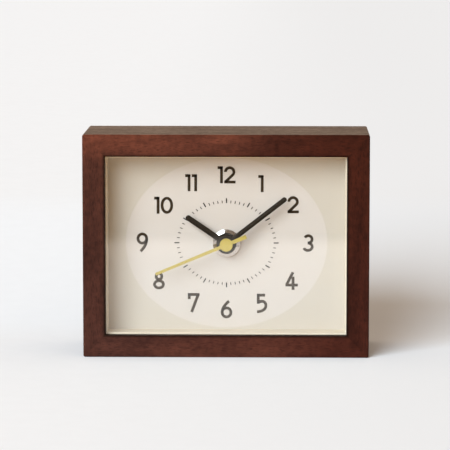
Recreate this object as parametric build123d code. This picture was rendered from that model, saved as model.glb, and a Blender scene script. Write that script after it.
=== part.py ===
from build123d import *
from math import acos, atan2, cos, pi, radians, sin, tan
import os

# A desk clock: a mitred hardwood box, glazed in front, with a battery quartz movement behind its dial.
# Sizes are in millimetres. The origin is the middle of the base, x runs right, y to the rear and z up.
# Faces are drawn in the front view, x right and z up, measured from the hand shaft. Depths are y values.

# Case boards
CASE_WIDTH = 115.0
CASE_HEIGHT = 90.0
CASE_DEPTH = 42.0
FRAME_FACE = 8.9
LIP_OVERLAP = 1.9
LIP_DEPTH = 2.0
REAR_WALL = 2.6
CORNER_ROUND = 0.8
EDGE_ROUND = 0.5
DROP_IN_GAP = 0.25

# Glass, surround and dial
GLASS_THICKNESS = 2.0
SURROUND_DEPTH = 9.0
SURROUND_RIM = 0.7
SURROUND_EASE = 0.35
DIAL_THICKNESS = 1.5

# Glued blocks that hold the dial
BLOCK_LENGTH = 14.0
BLOCK_DEPTH = 9.0
BLOCK_HEIGHT = 7.0
BLOCK_NOSE = 2.0
BLOCK_FROM_SIDE = 14.0

# Back panel
PANEL_THICKNESS = 3.0
PANEL_INSET = 1.2
PANEL_WINDOW_GAP = 2.0
SCREW_FROM_SIDE = 12.0

# Back panel screws
SCREW_SHANK_RADIUS = 0.85
SCREW_HEAD_RADIUS = 1.55
SCREW_HEAD_HEIGHT = 0.9
SCREW_GAP = 0.03
SCREW_LENGTH = 9.0
SCREW_SIDES = 8

# Hand shaft
PIN_RADIUS = 0.5
MINUTE_TUBE_RADIUS = 1.6
HOUR_TUBE_RADIUS = 2.5
BUSH_RADIUS = 4.0
SHAFT_GAP = 0.06
PRESS_GAP = 0.02

# Centre nut and washer
NUT_RADIUS = 5.6
NUT_THICKNESS = 2.0
NUT_SLOPE_WIDTH = 1.3
NUT_SLOPE_DEPTH = 0.6
NUT_SLOT_WIDTH = 2.4
NUT_SLOT_DEPTH = 1.2
BUSH_PROUD = 0.3
WASHER_RADIUS = 7.0
WASHER_THICKNESS = 0.8

# Hands, with clockwise angles from twelve
HOUR_HAND_LENGTH = 19.7
HOUR_HAND_WIDTH = 2.25
HOUR_BOSS_RADIUS = 4.0
HOUR_HAND_ANGLE = 304.34
MINUTE_HAND_LENGTH = 30.6
MINUTE_HAND_WIDTH = 2.0
MINUTE_BOSS_RADIUS = 3.5
MINUTE_HAND_ANGLE = 52.12
SECOND_HAND_LENGTH = 30.9
SECOND_HAND_ROOT = 1.35
SECOND_HAND_TIP = 1.1
SECOND_TAIL_LENGTH = 8.8
SECOND_TAIL_END = 1.65
SECOND_HUB_RADIUS = 2.6
SECOND_HAND_ANGLE = 247.2
HAND_EDGE = 0.3
HAND_RIDGE = 0.45
BOSS_THICKNESS = 1.2
HAND_SPACING = 0.55
SECOND_BLADE = 0.45
SECOND_HUB_THICKNESS = 1.3

# Gear teeth
PRESSURE_ANGLE = radians(20)
BACKLASH = 0.10
PINION_ADDENDUM = 1.0
PINION_DEDENDUM = 0.75
WHEEL_ADDENDUM = 0.35
WHEEL_DEDENDUM = 1.25
ROTOR_TEETH = 6
INTERMEDIATE_TEETH = 30
INTERMEDIATE_PINION_TEETH = 6
SECOND_TEETH = 36
SECOND_PINION_TEETH = 6
THIRD_TEETH = 45
THIRD_PINION_TEETH = 6
CENTRE_TEETH = 48
CANNON_TEETH = 8
MINUTE_TEETH = 24
MINUTE_PINION_TEETH = 6
HOUR_TEETH = 24
KNOB_TEETH = 8
ROTOR_MODULE = 0.46
SECOND_MODULE = 0.50
THIRD_MODULE = 0.40
CANNON_MODULE = 0.525

# Directions from axis to axis, in degrees from +x towards +z
THIRD_DIRECTION = 105.0
INTERMEDIATE_DIRECTION = 40.0
ROTOR_DIRECTION = 45.0
MINUTE_DIRECTION = 160.0
KNOB_DIRECTION = 170.0

# Layers of the train
WHEEL_THICKNESS = 0.8
LAYER_GAP = 0.4
PINION_OVERLAP = 0.15
CLUTCH_ROOM = 1.0
COLLAR_RADIUS = 2.9
STUD_RADIUS = 0.5
PIVOT_DEPTH = 0.8

# Step motor
MAGNET_RADIUS = 2.9
MAGNET_LENGTH = 2.0
STATOR_THICKNESS = 1.0
STATOR_BORE = 3.5
STATOR_SPAN = 24.6
STATOR_BAR = 8.2
STATOR_LEG = 5.0
CORE_WIDTH = 3.0
CORE_THICKNESS = 1.0
BOBBIN_WALL = 0.6
FLANGE_THICKNESS = 1.0
FLANGE_HEIGHT = 7.0
FLANGE_DEPTH = 5.0
WINDING_INSET = 0.4

# Movement housing
WALL = 1.2
FLOOR = 1.2
COVER_THICKNESS = 1.2
HOUSING_BEVEL = 2.0
HOUSING_GAP = 0.6
POST_WIDTH = 2.4
SHOULDER_RADIUS = 1.1
SNAP_WIDTH = 6.0
SNAP_DEPTH = 4.0
SNAP_THICKNESS = 0.8
SNAP_BARB = 0.3
SNAP_GAP = 0.05
FINGER_NOTCH = 18.0

# Battery and contacts
BATTERY_RADIUS = 7.25
BATTERY_LENGTH = 50.5
BATTERY_NUB_RADIUS = 2.75
BATTERY_NUB_LENGTH = 1.3
BATTERY_EASE = 0.6
BATTERY_GAP = 0.3
CONTACT_THICKNESS = 0.4
CONTACT_WIDTH = 9.0
CONTACT_GAP = 0.1
SPRING_ROOM = 2.4
TAIL_WIDTH = 2.6

# Circuit board
BOARD_THICKNESS = 1.0
BOARD_HEIGHT = 7.0
BOARD_BELOW_SHAFT = 2.6
CHIP_WIDTH = 4.0
CHIP_HEIGHT = 0.9
CRYSTAL_RADIUS = 1.0
CRYSTAL_LENGTH = 6.0

# Setting knob
KNOB_RADIUS = 6.0
KNOB_LENGTH = 6.2
KNOB_RIDGES = 20
KNOB_RIDGE_DEPTH = 0.4
KNOB_CLEARANCE = 0.5
KNOB_ARBOR_RADIUS = 0.8

# Case outlines
SHAFT_HEIGHT = CASE_HEIGHT / 2
BOARD_WALL = FRAME_FACE - LIP_OVERLAP
WINDOW_WIDTH = CASE_WIDTH - 2 * FRAME_FACE
WINDOW_HEIGHT = CASE_HEIGHT - 2 * FRAME_FACE
INSIDE_WIDTH = CASE_WIDTH - 2 * BOARD_WALL
INSIDE_HEIGHT = CASE_HEIGHT - 2 * BOARD_WALL
SEAT_WIDTH = CASE_WIDTH - 2 * REAR_WALL
SEAT_HEIGHT = CASE_HEIGHT - 2 * REAR_WALL

# Depths from front to rear
CASE_FRONT = -CASE_DEPTH / 2
CASE_BACK = CASE_DEPTH / 2
GLASS_FRONT = CASE_FRONT + LIP_DEPTH
GLASS_BACK = GLASS_FRONT + GLASS_THICKNESS
DIAL_FRONT = GLASS_BACK + SURROUND_DEPTH
DIAL_BACK = DIAL_FRONT + DIAL_THICKNESS
MOVEMENT_FRONT = DIAL_BACK + WASHER_THICKNESS
FLOOR_BACK = MOVEMENT_FRONT + FLOOR
HOUR_FRONT = FLOOR_BACK + LAYER_GAP
HOUR_BACK = HOUR_FRONT + WHEEL_THICKNESS
MINUTE_FRONT = HOUR_BACK + LAYER_GAP
MINUTE_BACK = MINUTE_FRONT + WHEEL_THICKNESS
CENTRE_FRONT = MINUTE_BACK + LAYER_GAP
CENTRE_BACK = CENTRE_FRONT + WHEEL_THICKNESS
THIRD_FRONT = CENTRE_BACK + CLUTCH_ROOM
THIRD_BACK = THIRD_FRONT + WHEEL_THICKNESS
SECOND_FRONT = THIRD_BACK + LAYER_GAP
SECOND_BACK = SECOND_FRONT + WHEEL_THICKNESS
INTERMEDIATE_FRONT = SECOND_BACK + 2 * LAYER_GAP
INTERMEDIATE_BACK = INTERMEDIATE_FRONT + WHEEL_THICKNESS
MAGNET_FRONT = INTERMEDIATE_BACK + LAYER_GAP
MAGNET_BACK = MAGNET_FRONT + MAGNET_LENGTH
STATOR_FRONT = MAGNET_FRONT + (MAGNET_LENGTH - STATOR_THICKNESS) / 2
STATOR_BACK = STATOR_FRONT + STATOR_THICKNESS
CORE_BACK = STATOR_BACK + CORE_THICKNESS
COIL_DEPTH = (STATOR_BACK + CORE_BACK) / 2
COVER_FRONT = COIL_DEPTH + FLANGE_DEPTH / 2 + HOUSING_GAP / 2
COVER_BACK = COVER_FRONT + COVER_THICKNESS
BOARD_BACK = COVER_FRONT - HOUSING_GAP / 2
BOARD_FRONT = BOARD_BACK - BOARD_THICKNESS
PANEL_BACK = CASE_BACK - PANEL_INSET
PANEL_FRONT = PANEL_BACK - PANEL_THICKNESS

# Depths of the hands, in front of the dial
NUT_FRONT = DIAL_FRONT - NUT_THICKNESS
BUSH_FRONT = NUT_FRONT - BUSH_PROUD
HOUR_HAND_BACK = BUSH_FRONT - HAND_SPACING
HOUR_HAND_FRONT = HOUR_HAND_BACK - BOSS_THICKNESS
MINUTE_HAND_BACK = HOUR_HAND_FRONT - HAND_SPACING
MINUTE_HAND_FRONT = MINUTE_HAND_BACK - BOSS_THICKNESS
SECOND_HAND_BACK = MINUTE_HAND_FRONT - HAND_SPACING
SECOND_HAND_FRONT = SECOND_HAND_BACK - SECOND_HUB_THICKNESS


def polar(distance, direction, start=(0.0, 0.0)):
    """The point at a distance and direction from a start point in the front view."""
    angle = radians(direction)
    return start[0] + distance * cos(angle), start[1] + distance * sin(angle)


# Gear modules that follow from two wheel pairs sharing one centre distance
THIRD_DISTANCE = THIRD_MODULE * (SECOND_PINION_TEETH + THIRD_TEETH) / 2
CENTRE_MODULE = 2 * THIRD_DISTANCE / (THIRD_PINION_TEETH + CENTRE_TEETH)
MINUTE_DISTANCE = CANNON_MODULE * (CANNON_TEETH + MINUTE_TEETH) / 2
HOUR_MODULE = 2 * MINUTE_DISTANCE / (MINUTE_PINION_TEETH + HOUR_TEETH)
INTERMEDIATE_DISTANCE = SECOND_MODULE * (INTERMEDIATE_PINION_TEETH + SECOND_TEETH) / 2
ROTOR_DISTANCE = ROTOR_MODULE * (ROTOR_TEETH + INTERMEDIATE_TEETH) / 2
KNOB_DISTANCE = CANNON_MODULE * (KNOB_TEETH + MINUTE_TEETH) / 2

# Axes of the train
SHAFT_AXIS = (0.0, 0.0)
THIRD_AXIS = polar(THIRD_DISTANCE, THIRD_DIRECTION)
INTERMEDIATE_AXIS = polar(INTERMEDIATE_DISTANCE, INTERMEDIATE_DIRECTION)
ROTOR_AXIS = polar(ROTOR_DISTANCE, ROTOR_DIRECTION, INTERMEDIATE_AXIS)
MINUTE_AXIS = polar(MINUTE_DISTANCE, MINUTE_DIRECTION)
KNOB_AXIS = polar(KNOB_DISTANCE, KNOB_DIRECTION, MINUTE_AXIS)

# Housing outline, wide enough for the battery and for the motor
STATOR_LEFT = ROTOR_AXIS[0] - STATOR_SPAN / 2
STATOR_RIGHT = ROTOR_AXIS[0] + STATOR_SPAN / 2
STATOR_LOW = ROTOR_AXIS[1] - STATOR_BAR / 2
STATOR_HIGH = ROTOR_AXIS[1] + STATOR_BAR / 2
COIL_HEIGHT = STATOR_HIGH + HOUSING_GAP + FLANGE_HEIGHT / 2
BAY_NEEDED = BATTERY_LENGTH + SPRING_ROOM + CONTACT_THICKNESS + 2 * CONTACT_GAP
ROOM_HALF = max(BAY_NEEDED / 2, STATOR_RIGHT + HOUSING_GAP / 2)
HOUSING_HALF = ROOM_HALF + WALL
CENTRE_TIP_RADIUS = CENTRE_MODULE * (CENTRE_TEETH / 2 + WHEEL_ADDENDUM)
ROOM_LOW = -(max(CENTRE_TIP_RADIUS, BOARD_BELOW_SHAFT + BOARD_HEIGHT) + HOUSING_GAP)
ROOM_HIGH = COIL_HEIGHT + FLANGE_HEIGHT / 2 + HOUSING_GAP
BAY_LEFT = -ROOM_HALF
BAY_RIGHT = BAY_LEFT + BAY_NEEDED
BAY_HIGH = ROOM_LOW - WALL
BAY_LOW = BAY_HIGH - 2 * BATTERY_RADIUS - 2 * BATTERY_GAP
HOUSING_LOW = BAY_LOW - WALL
HOUSING_HIGH = ROOM_HIGH + WALL

# Battery place
BATTERY_HEIGHT = (BAY_LOW + BAY_HIGH) / 2
BATTERY_DEPTH = FLOOR_BACK + BATTERY_GAP + BATTERY_RADIUS
BATTERY_LEFT = BAY_LEFT + SPRING_ROOM + CONTACT_GAP
TAIL_FRONT = BOARD_BACK - TAIL_WIDTH
TAIL_ROOM = CONTACT_THICKNESS + CONTACT_GAP
BOARD_LEFT = BAY_LEFT + TAIL_ROOM
BOARD_RIGHT = BAY_RIGHT - TAIL_ROOM
BOARD_HIGH = -BOARD_BELOW_SHAFT
BOARD_LOW = BOARD_HIGH - BOARD_HEIGHT
BOARD_MIDDLE = (BOARD_LOW + BOARD_HIGH) / 2

# Posts inside the housing
BOARD_POSTS = [(0.75 * BOARD_LEFT, BOARD_MIDDLE), (0.75 * BOARD_RIGHT, BOARD_MIDDLE)]
STATOR_POSTS = [
    (STATOR_LEFT + STATOR_LEG / 2, COIL_HEIGHT),
    (STATOR_RIGHT - STATOR_LEG / 2, COIL_HEIGHT),
    (STATOR_RIGHT - STATOR_LEG / 2, STATOR_LOW + STATOR_LEG / 2),
]

# Sides and heights of the snap tabs, clear of the motor and the circuit board
SNAP_LOW = (BOARD_HIGH + STATOR_LOW) / 2
SNAP_PLACES = [(-1, SNAP_LOW), (-1, COIL_HEIGHT), (1, SNAP_LOW)]

# Places in the case
BLOCK_X = INSIDE_WIDTH / 2 - BLOCK_FROM_SIDE
SCREW_X = INSIDE_WIDTH / 2 - SCREW_FROM_SIDE
SCREW_Z = (INSIDE_HEIGHT + SEAT_HEIGHT) / 4
SIDES = (-1, 1)


def slab(face, front, back):
    """Extrudes a face of the front view between two depths."""
    plane = Plane(origin=(0, back, SHAFT_HEIGHT), x_dir=(1, 0, 0), z_dir=(0, -1, 0))
    return extrude(plane * face, back - front)


def upright(face, low, high):
    """Extrudes a face of the top view, x right and y to the rear, between two heights."""
    return extrude(Pos(0, 0, SHAFT_HEIGHT + low) * face, high - low)


def lengthwise(face, left, right):
    """Extrudes a face of the side view, y to the rear and z up, between two x values."""
    plane = Plane(origin=(left, 0, SHAFT_HEIGHT), x_dir=(0, 1, 0), z_dir=(1, 0, 0))
    return extrude(plane * face, right - left)


def oblong(left, right, low, high):
    """A rectangle given by its four sides."""
    return Pos((left + right) / 2, (low + high) / 2) * Rectangle(right - left, high - low)


def rod(radius, front, back, at=SHAFT_AXIS):
    """A round rod along the depth."""
    return slab(Pos(*at) * Circle(radius), front, back)


def tube(radius, bore, front, back, at=SHAFT_AXIS):
    """A round tube along the depth."""
    return slab(Pos(*at) * (Circle(radius) - Circle(bore)), front, back)


def grouped(shapes):
    """Equal loose pieces as one group of separate solids."""
    return Compound([solid for shape in shapes for solid in shape.solids()])


def gear_face(teeth, module, addendum, dedendum, phase):
    """A gear outline with straight flanks between involute points, one tooth centred at the phase."""
    pitch = module * teeth / 2
    base = pitch * cos(PRESSURE_ANGLE)
    root = pitch - dedendum * module
    tip = pitch + addendum * module
    half_at_pitch = pi * (1 - BACKLASH) / (2 * teeth)

    def half_angle(radius):
        roll = acos(min(1.0, base / radius))
        return half_at_pitch + tan(PRESSURE_ANGLE) - PRESSURE_ANGLE - tan(roll) + roll

    flank = [(radius, half_angle(radius)) for radius in (root, tip)]
    tooth = [(radius, -half) for radius, half in flank] + list(reversed(flank))
    points = []
    for n in range(teeth):
        middle = phase + 2 * pi * n / teeth
        points += [(radius * cos(middle + turn), radius * sin(middle + turn)) for radius, turn in tooth]
    return make_face(Polyline(*points, close=True))


def wheel_face(teeth, module, phase=0.0):
    """A wheel, with short teeth."""
    return gear_face(teeth, module, WHEEL_ADDENDUM, WHEEL_DEDENDUM, phase)


def pinion_face(teeth, module, phase=0.0):
    """A pinion, with full teeth."""
    return gear_face(teeth, module, PINION_ADDENDUM, PINION_DEDENDUM, phase)


def stud_bore(front, back, at):
    """The hole by which a wheel and its pinion turn on a stud."""
    return rod(STUD_RADIUS + SHAFT_GAP, front - PINION_OVERLAP, back, at)


def meshed_phase(teeth, axis, driver_teeth, driver_axis, driver_phase=0.0):
    """The phase that puts a gap of this gear on the tooth of its driver."""
    toward = atan2(axis[1] - driver_axis[1], axis[0] - driver_axis[0])
    offset = (driver_phase - toward) * driver_teeth / (2 * pi)
    return toward + pi + (0.5 - offset) * 2 * pi / teeth


def screw_places():
    """The points where the back panel screws enter the panel."""
    for side in SIDES:
        for x in (-SCREW_X, SCREW_X):
            yield x, side * SCREW_Z


def screw_hole(at):
    """The hole in which a screw shank sits."""
    face = Pos(*at) * RegularPolygon(SCREW_SHANK_RADIUS + SCREW_GAP, SCREW_SIDES)
    return slab(face, PANEL_BACK - SCREW_LENGTH - SCREW_GAP, PANEL_BACK)


def case_ring():
    """The whole case before it is parted at the mitres."""
    ring = slab(RectangleRounded(CASE_WIDTH, CASE_HEIGHT, CORNER_ROUND), CASE_FRONT, CASE_BACK)
    front, back = ring.faces().filter_by(Axis.Y).sort_by(Axis.Y)
    ring = fillet(front.edges(), EDGE_ROUND)
    back = ring.faces().filter_by(Axis.Y).sort_by(Axis.Y)[-1]
    ring = chamfer(back.edges(), EDGE_ROUND)
    ring -= slab(Rectangle(WINDOW_WIDTH, WINDOW_HEIGHT), CASE_FRONT, GLASS_FRONT)
    ring -= slab(Rectangle(INSIDE_WIDTH, INSIDE_HEIGHT), GLASS_FRONT, PANEL_FRONT)
    ring -= slab(Rectangle(SEAT_WIDTH, SEAT_HEIGHT), PANEL_FRONT, CASE_BACK)
    for at in screw_places():
        ring -= screw_hole(at)
    return ring


def case_boards():
    """The four boards, parted along the mitres."""
    ring = case_ring()
    places = [
        ("case_bottom", 0, CASE_WIDTH, CASE_HEIGHT),
        ("case_right", 90, CASE_HEIGHT, CASE_WIDTH),
        ("case_top", 180, CASE_WIDTH, CASE_HEIGHT),
        ("case_left", 270, CASE_HEIGHT, CASE_WIDTH),
    ]
    boards = {}
    for name, turn, length, span in places:
        wedge = Trapezoid(length, FRAME_FACE + LIP_OVERLAP, 45, align=(Align.CENTER, Align.MIN))
        wedge = Rot(0, 0, turn) * Pos(0, -span / 2) * wedge
        boards[name] = ring & slab(wedge, CASE_FRONT, CASE_BACK)
    return boards


def front_glass():
    """The flat pane behind the wooden lip."""
    face = Rectangle(INSIDE_WIDTH - 2 * DROP_IN_GAP, INSIDE_HEIGHT - 2 * DROP_IN_GAP)
    return slab(face, GLASS_FRONT, GLASS_BACK)


def dial_surround():
    """The straight-walled frame between glass and dial, with an eased front rim."""
    outer = Rectangle(INSIDE_WIDTH - 2 * DROP_IN_GAP, INSIDE_HEIGHT - 2 * DROP_IN_GAP)
    inner = Rectangle(WINDOW_WIDTH - 2 * SURROUND_RIM, WINDOW_HEIGHT - 2 * SURROUND_RIM)
    frame = slab(outer - inner, GLASS_BACK, DIAL_FRONT)
    front = frame.faces().sort_by(Axis.Y)[0]
    return chamfer(front.inner_wires()[0].edges(), SURROUND_EASE)


def dial_plate():
    """The plate that carries the printed dial."""
    face = Rectangle(INSIDE_WIDTH - 2 * DROP_IN_GAP, INSIDE_HEIGHT - 2 * DROP_IN_GAP)
    return slab(face - Circle(BUSH_RADIUS + SHAFT_GAP), DIAL_FRONT, DIAL_BACK)


def glue_blocks():
    """Four wooden blocks, glued to the boards, that hold the dial forward."""
    blocks = []
    for side in SIDES:
        board = side * INSIDE_HEIGHT / 2
        nose = board - side * BLOCK_NOSE
        edge = board - side * BLOCK_HEIGHT
        back = DIAL_BACK + BLOCK_DEPTH
        chamfer_start = (DIAL_BACK + BLOCK_NOSE, edge)
        outline = [(DIAL_BACK, board), (DIAL_BACK, edge), chamfer_start, (back, nose), (back, board)]
        section = make_face(Polyline(*outline, close=True))
        for x in (-BLOCK_X, BLOCK_X):
            blocks.append(lengthwise(section, x - BLOCK_LENGTH / 2, x + BLOCK_LENGTH / 2))
    return grouped(blocks)


def back_panel():
    """The rear panel with a window round the movement."""
    face = Rectangle(SEAT_WIDTH - 2 * DROP_IN_GAP, SEAT_HEIGHT - 2 * DROP_IN_GAP)
    face -= oblong(
        -HOUSING_HALF - PANEL_WINDOW_GAP,
        HOUSING_HALF + PANEL_WINDOW_GAP,
        HOUSING_LOW - PANEL_WINDOW_GAP,
        HOUSING_HIGH + PANEL_WINDOW_GAP,
    )
    panel = slab(face, PANEL_FRONT, PANEL_BACK)
    for at in screw_places():
        panel -= screw_hole(at)
    return panel


def back_panel_screws():
    """The screws of the back panel."""
    screws = []
    for at in screw_places():
        shank = Pos(*at) * RegularPolygon(SCREW_SHANK_RADIUS, SCREW_SIDES)
        head = Pos(*at) * RegularPolygon(SCREW_HEAD_RADIUS, 2 * SCREW_SIDES)
        screw = slab(shank, PANEL_BACK - SCREW_LENGTH, PANEL_BACK)
        screws.append(screw + slab(head, PANEL_BACK, PANEL_BACK + SCREW_HEAD_HEIGHT))
    return grouped(screws)


def mounting_washer():
    """The rubber washer between dial and movement."""
    return tube(WASHER_RADIUS, BUSH_RADIUS + SHAFT_GAP, DIAL_BACK, MOVEMENT_FRONT)


def centre_nut():
    """The round nut that clamps the movement to the dial, slotted for a spanner."""
    bore = BUSH_RADIUS + SHAFT_GAP
    crest = NUT_RADIUS - NUT_SLOPE_WIDTH
    profile = Polygon(
        (bore, DIAL_FRONT), (bore, NUT_FRONT), (crest, NUT_FRONT),
        (NUT_RADIUS, NUT_FRONT + NUT_SLOPE_DEPTH), (NUT_RADIUS, DIAL_FRONT), align=None,
    )
    nut = Pos(0, 0, SHAFT_HEIGHT) * revolve(profile, Axis.Y)
    for side in SIDES:
        left, right = sorted((0, side * (NUT_RADIUS + PRESS_GAP)))
        slot = oblong(left, right, -NUT_SLOT_WIDTH / 2, NUT_SLOT_WIDTH / 2)
        nut -= slab(slot, NUT_FRONT, NUT_FRONT + NUT_SLOT_DEPTH)
    return nut


def ridged_hand(length, width, boss_radius, bore, front, back, angle):
    """A hand with a ridge along its middle, a round tip and a round boss, turned to its angle."""
    blade_back = (front + back) / 2 + (HAND_EDGE + HAND_RIDGE) / 2
    edge = blade_back - HAND_EDGE
    ridge = edge - HAND_RIDGE
    half = width / 2
    right_half = [(0, ridge), (half, edge), (half, blade_back)]
    section = Polygon((-half, blade_back), (-half, edge), *right_half, align=None)
    half_section = Polygon(*right_half, (0, blade_back), align=None)
    tip_height = SHAFT_HEIGHT + length - half
    blade = extrude(Pos(0, 0, SHAFT_HEIGHT) * section, length - half, dir=(0, 0, 1))
    tip_axis = Axis((0, 0, tip_height), (0, -1, 0))
    blade += revolve(Pos(0, 0, tip_height) * half_section, tip_axis, 180)
    hand = blade + rod(boss_radius, front, back) - rod(bore, front, back)
    return hand.rotate(Axis((0, 0, SHAFT_HEIGHT), (0, 1, 0)), angle)


def hour_hand():
    """The hour hand, pressed on the hour tube."""
    return ridged_hand(
        HOUR_HAND_LENGTH,
        HOUR_HAND_WIDTH,
        HOUR_BOSS_RADIUS,
        HOUR_TUBE_RADIUS + PRESS_GAP,
        HOUR_HAND_FRONT,
        HOUR_HAND_BACK,
        HOUR_HAND_ANGLE,
    )


def minute_hand():
    """The minute hand, pressed on the minute tube."""
    return ridged_hand(
        MINUTE_HAND_LENGTH,
        MINUTE_HAND_WIDTH,
        MINUTE_BOSS_RADIUS,
        MINUTE_TUBE_RADIUS + PRESS_GAP,
        MINUTE_HAND_FRONT,
        MINUTE_HAND_BACK,
        MINUTE_HAND_ANGLE,
    )


def second_hand():
    """The flat second hand with its counterweight tail, closed over the end of its pin."""
    root = SECOND_HAND_ROOT / 2
    tip = SECOND_HAND_TIP / 2
    tail = SECOND_TAIL_END / 2
    needle = Polygon(
        (-root, 0), (-tail, -SECOND_TAIL_LENGTH), (tail, -SECOND_TAIL_LENGTH), (root, 0),
        (tip, SECOND_HAND_LENGTH), (-tip, SECOND_HAND_LENGTH), align=None,
    )
    blade_front = (SECOND_HAND_FRONT + SECOND_HAND_BACK - SECOND_BLADE) / 2
    hand = slab(needle, blade_front, blade_front + SECOND_BLADE)
    hand += rod(SECOND_HUB_RADIUS, SECOND_HAND_FRONT, SECOND_HAND_BACK)
    hand -= rod(PIN_RADIUS + PRESS_GAP, SECOND_HAND_FRONT + SECOND_BLADE, SECOND_HAND_BACK)
    return hand.rotate(Axis((0, 0, SHAFT_HEIGHT), (0, 1, 0)), SECOND_HAND_ANGLE)


def hour_wheel():
    """The hour wheel and the tube that carries the hour hand."""
    phase = meshed_phase(HOUR_TEETH, SHAFT_AXIS, MINUTE_PINION_TEETH, MINUTE_AXIS)
    wheel = slab(wheel_face(HOUR_TEETH, HOUR_MODULE, phase), HOUR_FRONT, HOUR_BACK)
    wheel += rod(HOUR_TUBE_RADIUS, HOUR_HAND_FRONT, HOUR_BACK)
    return wheel - rod(MINUTE_TUBE_RADIUS + SHAFT_GAP, HOUR_HAND_FRONT, HOUR_BACK)


def cannon_pinion():
    """The minute tube with its pinion, and the collar of its friction clutch."""
    front = MINUTE_FRONT - PINION_OVERLAP
    back = MINUTE_BACK + PINION_OVERLAP
    collar_back = THIRD_FRONT - 2 * PINION_OVERLAP
    collar_front = collar_back - 0.4 * CLUTCH_ROOM
    pinion = slab(pinion_face(CANNON_TEETH, CANNON_MODULE), front, back)
    pinion += rod(MINUTE_TUBE_RADIUS, MINUTE_HAND_FRONT, collar_back)
    pinion += rod(COLLAR_RADIUS, collar_front, collar_back)
    return pinion - rod(PIN_RADIUS + SHAFT_GAP, MINUTE_HAND_FRONT, collar_back)


def centre_wheel():
    """The wheel that carries the minute tube round through the clutch."""
    phase = meshed_phase(CENTRE_TEETH, SHAFT_AXIS, THIRD_PINION_TEETH, THIRD_AXIS)
    face = wheel_face(CENTRE_TEETH, CENTRE_MODULE, phase) - Circle(MINUTE_TUBE_RADIUS + SHAFT_GAP)
    return slab(face, CENTRE_FRONT, CENTRE_BACK)


def minute_wheel():
    """The minute wheel and its pinion, turning on a stud of the base."""
    phase = meshed_phase(MINUTE_TEETH, MINUTE_AXIS, CANNON_TEETH, SHAFT_AXIS)
    face = Pos(*MINUTE_AXIS) * wheel_face(MINUTE_TEETH, CANNON_MODULE, phase)
    wheel = slab(face, MINUTE_FRONT, MINUTE_BACK)
    pinion = Pos(*MINUTE_AXIS) * pinion_face(MINUTE_PINION_TEETH, HOUR_MODULE)
    wheel += slab(pinion, HOUR_FRONT - PINION_OVERLAP, MINUTE_FRONT)
    return wheel - stud_bore(HOUR_FRONT, MINUTE_BACK, MINUTE_AXIS)


def third_wheel():
    """The third wheel with its pinion, turning on a stud of the base."""
    phase = meshed_phase(THIRD_TEETH, THIRD_AXIS, SECOND_PINION_TEETH, SHAFT_AXIS)
    face = Pos(*THIRD_AXIS) * wheel_face(THIRD_TEETH, THIRD_MODULE, phase)
    wheel = slab(face, THIRD_FRONT, THIRD_BACK)
    pinion = Pos(*THIRD_AXIS) * pinion_face(THIRD_PINION_TEETH, CENTRE_MODULE)
    wheel += slab(pinion, CENTRE_FRONT - PINION_OVERLAP, THIRD_FRONT)
    return wheel - stud_bore(CENTRE_FRONT, THIRD_BACK, THIRD_AXIS)


def second_wheel():
    """The second wheel with its pinion and the pin that carries the second hand."""
    wheel = slab(wheel_face(SECOND_TEETH, SECOND_MODULE), SECOND_FRONT, SECOND_BACK)
    pinion = pinion_face(SECOND_PINION_TEETH, THIRD_MODULE)
    wheel += slab(pinion, THIRD_FRONT - PINION_OVERLAP, SECOND_FRONT)
    back = COVER_FRONT + PIVOT_DEPTH - 2 * SHAFT_GAP
    return wheel + rod(PIN_RADIUS, SECOND_HAND_FRONT + SECOND_BLADE + PRESS_GAP, back)


def intermediate_wheel():
    """The wheel between rotor and second wheel, with its pinion."""
    phase = meshed_phase(INTERMEDIATE_PINION_TEETH, INTERMEDIATE_AXIS, SECOND_TEETH, SHAFT_AXIS)
    pinion = Pos(*INTERMEDIATE_AXIS) * pinion_face(INTERMEDIATE_PINION_TEETH, SECOND_MODULE, phase)
    face = Pos(*INTERMEDIATE_AXIS) * wheel_face(INTERMEDIATE_TEETH, ROTOR_MODULE)
    wheel = slab(face, INTERMEDIATE_FRONT, INTERMEDIATE_BACK)
    wheel += slab(pinion, SECOND_FRONT - PINION_OVERLAP, INTERMEDIATE_FRONT)
    return wheel - stud_bore(SECOND_FRONT, INTERMEDIATE_BACK, INTERMEDIATE_AXIS)


def rotor_pinion():
    """The pinion of the rotor."""
    phase = meshed_phase(ROTOR_TEETH, ROTOR_AXIS, INTERMEDIATE_TEETH, INTERMEDIATE_AXIS)
    face = Pos(*ROTOR_AXIS) * pinion_face(ROTOR_TEETH, ROTOR_MODULE, phase)
    pinion = slab(face, INTERMEDIATE_FRONT - PINION_OVERLAP, MAGNET_FRONT)
    return pinion - stud_bore(INTERMEDIATE_FRONT, MAGNET_FRONT, ROTOR_AXIS)


def rotor_magnet():
    """The disc magnet on the back of the rotor pinion."""
    return tube(MAGNET_RADIUS, STUD_RADIUS + SHAFT_GAP, MAGNET_FRONT, MAGNET_BACK, ROTOR_AXIS)


def studs():
    """Each stud of the base: its axis, and the front and back of what turns on it."""
    return [
        (MINUTE_AXIS, HOUR_FRONT, MINUTE_BACK),
        (THIRD_AXIS, CENTRE_FRONT, THIRD_BACK),
        (INTERMEDIATE_AXIS, SECOND_FRONT, INTERMEDIATE_BACK),
        (ROTOR_AXIS, INTERMEDIATE_FRONT, MAGNET_BACK),
    ]


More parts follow.
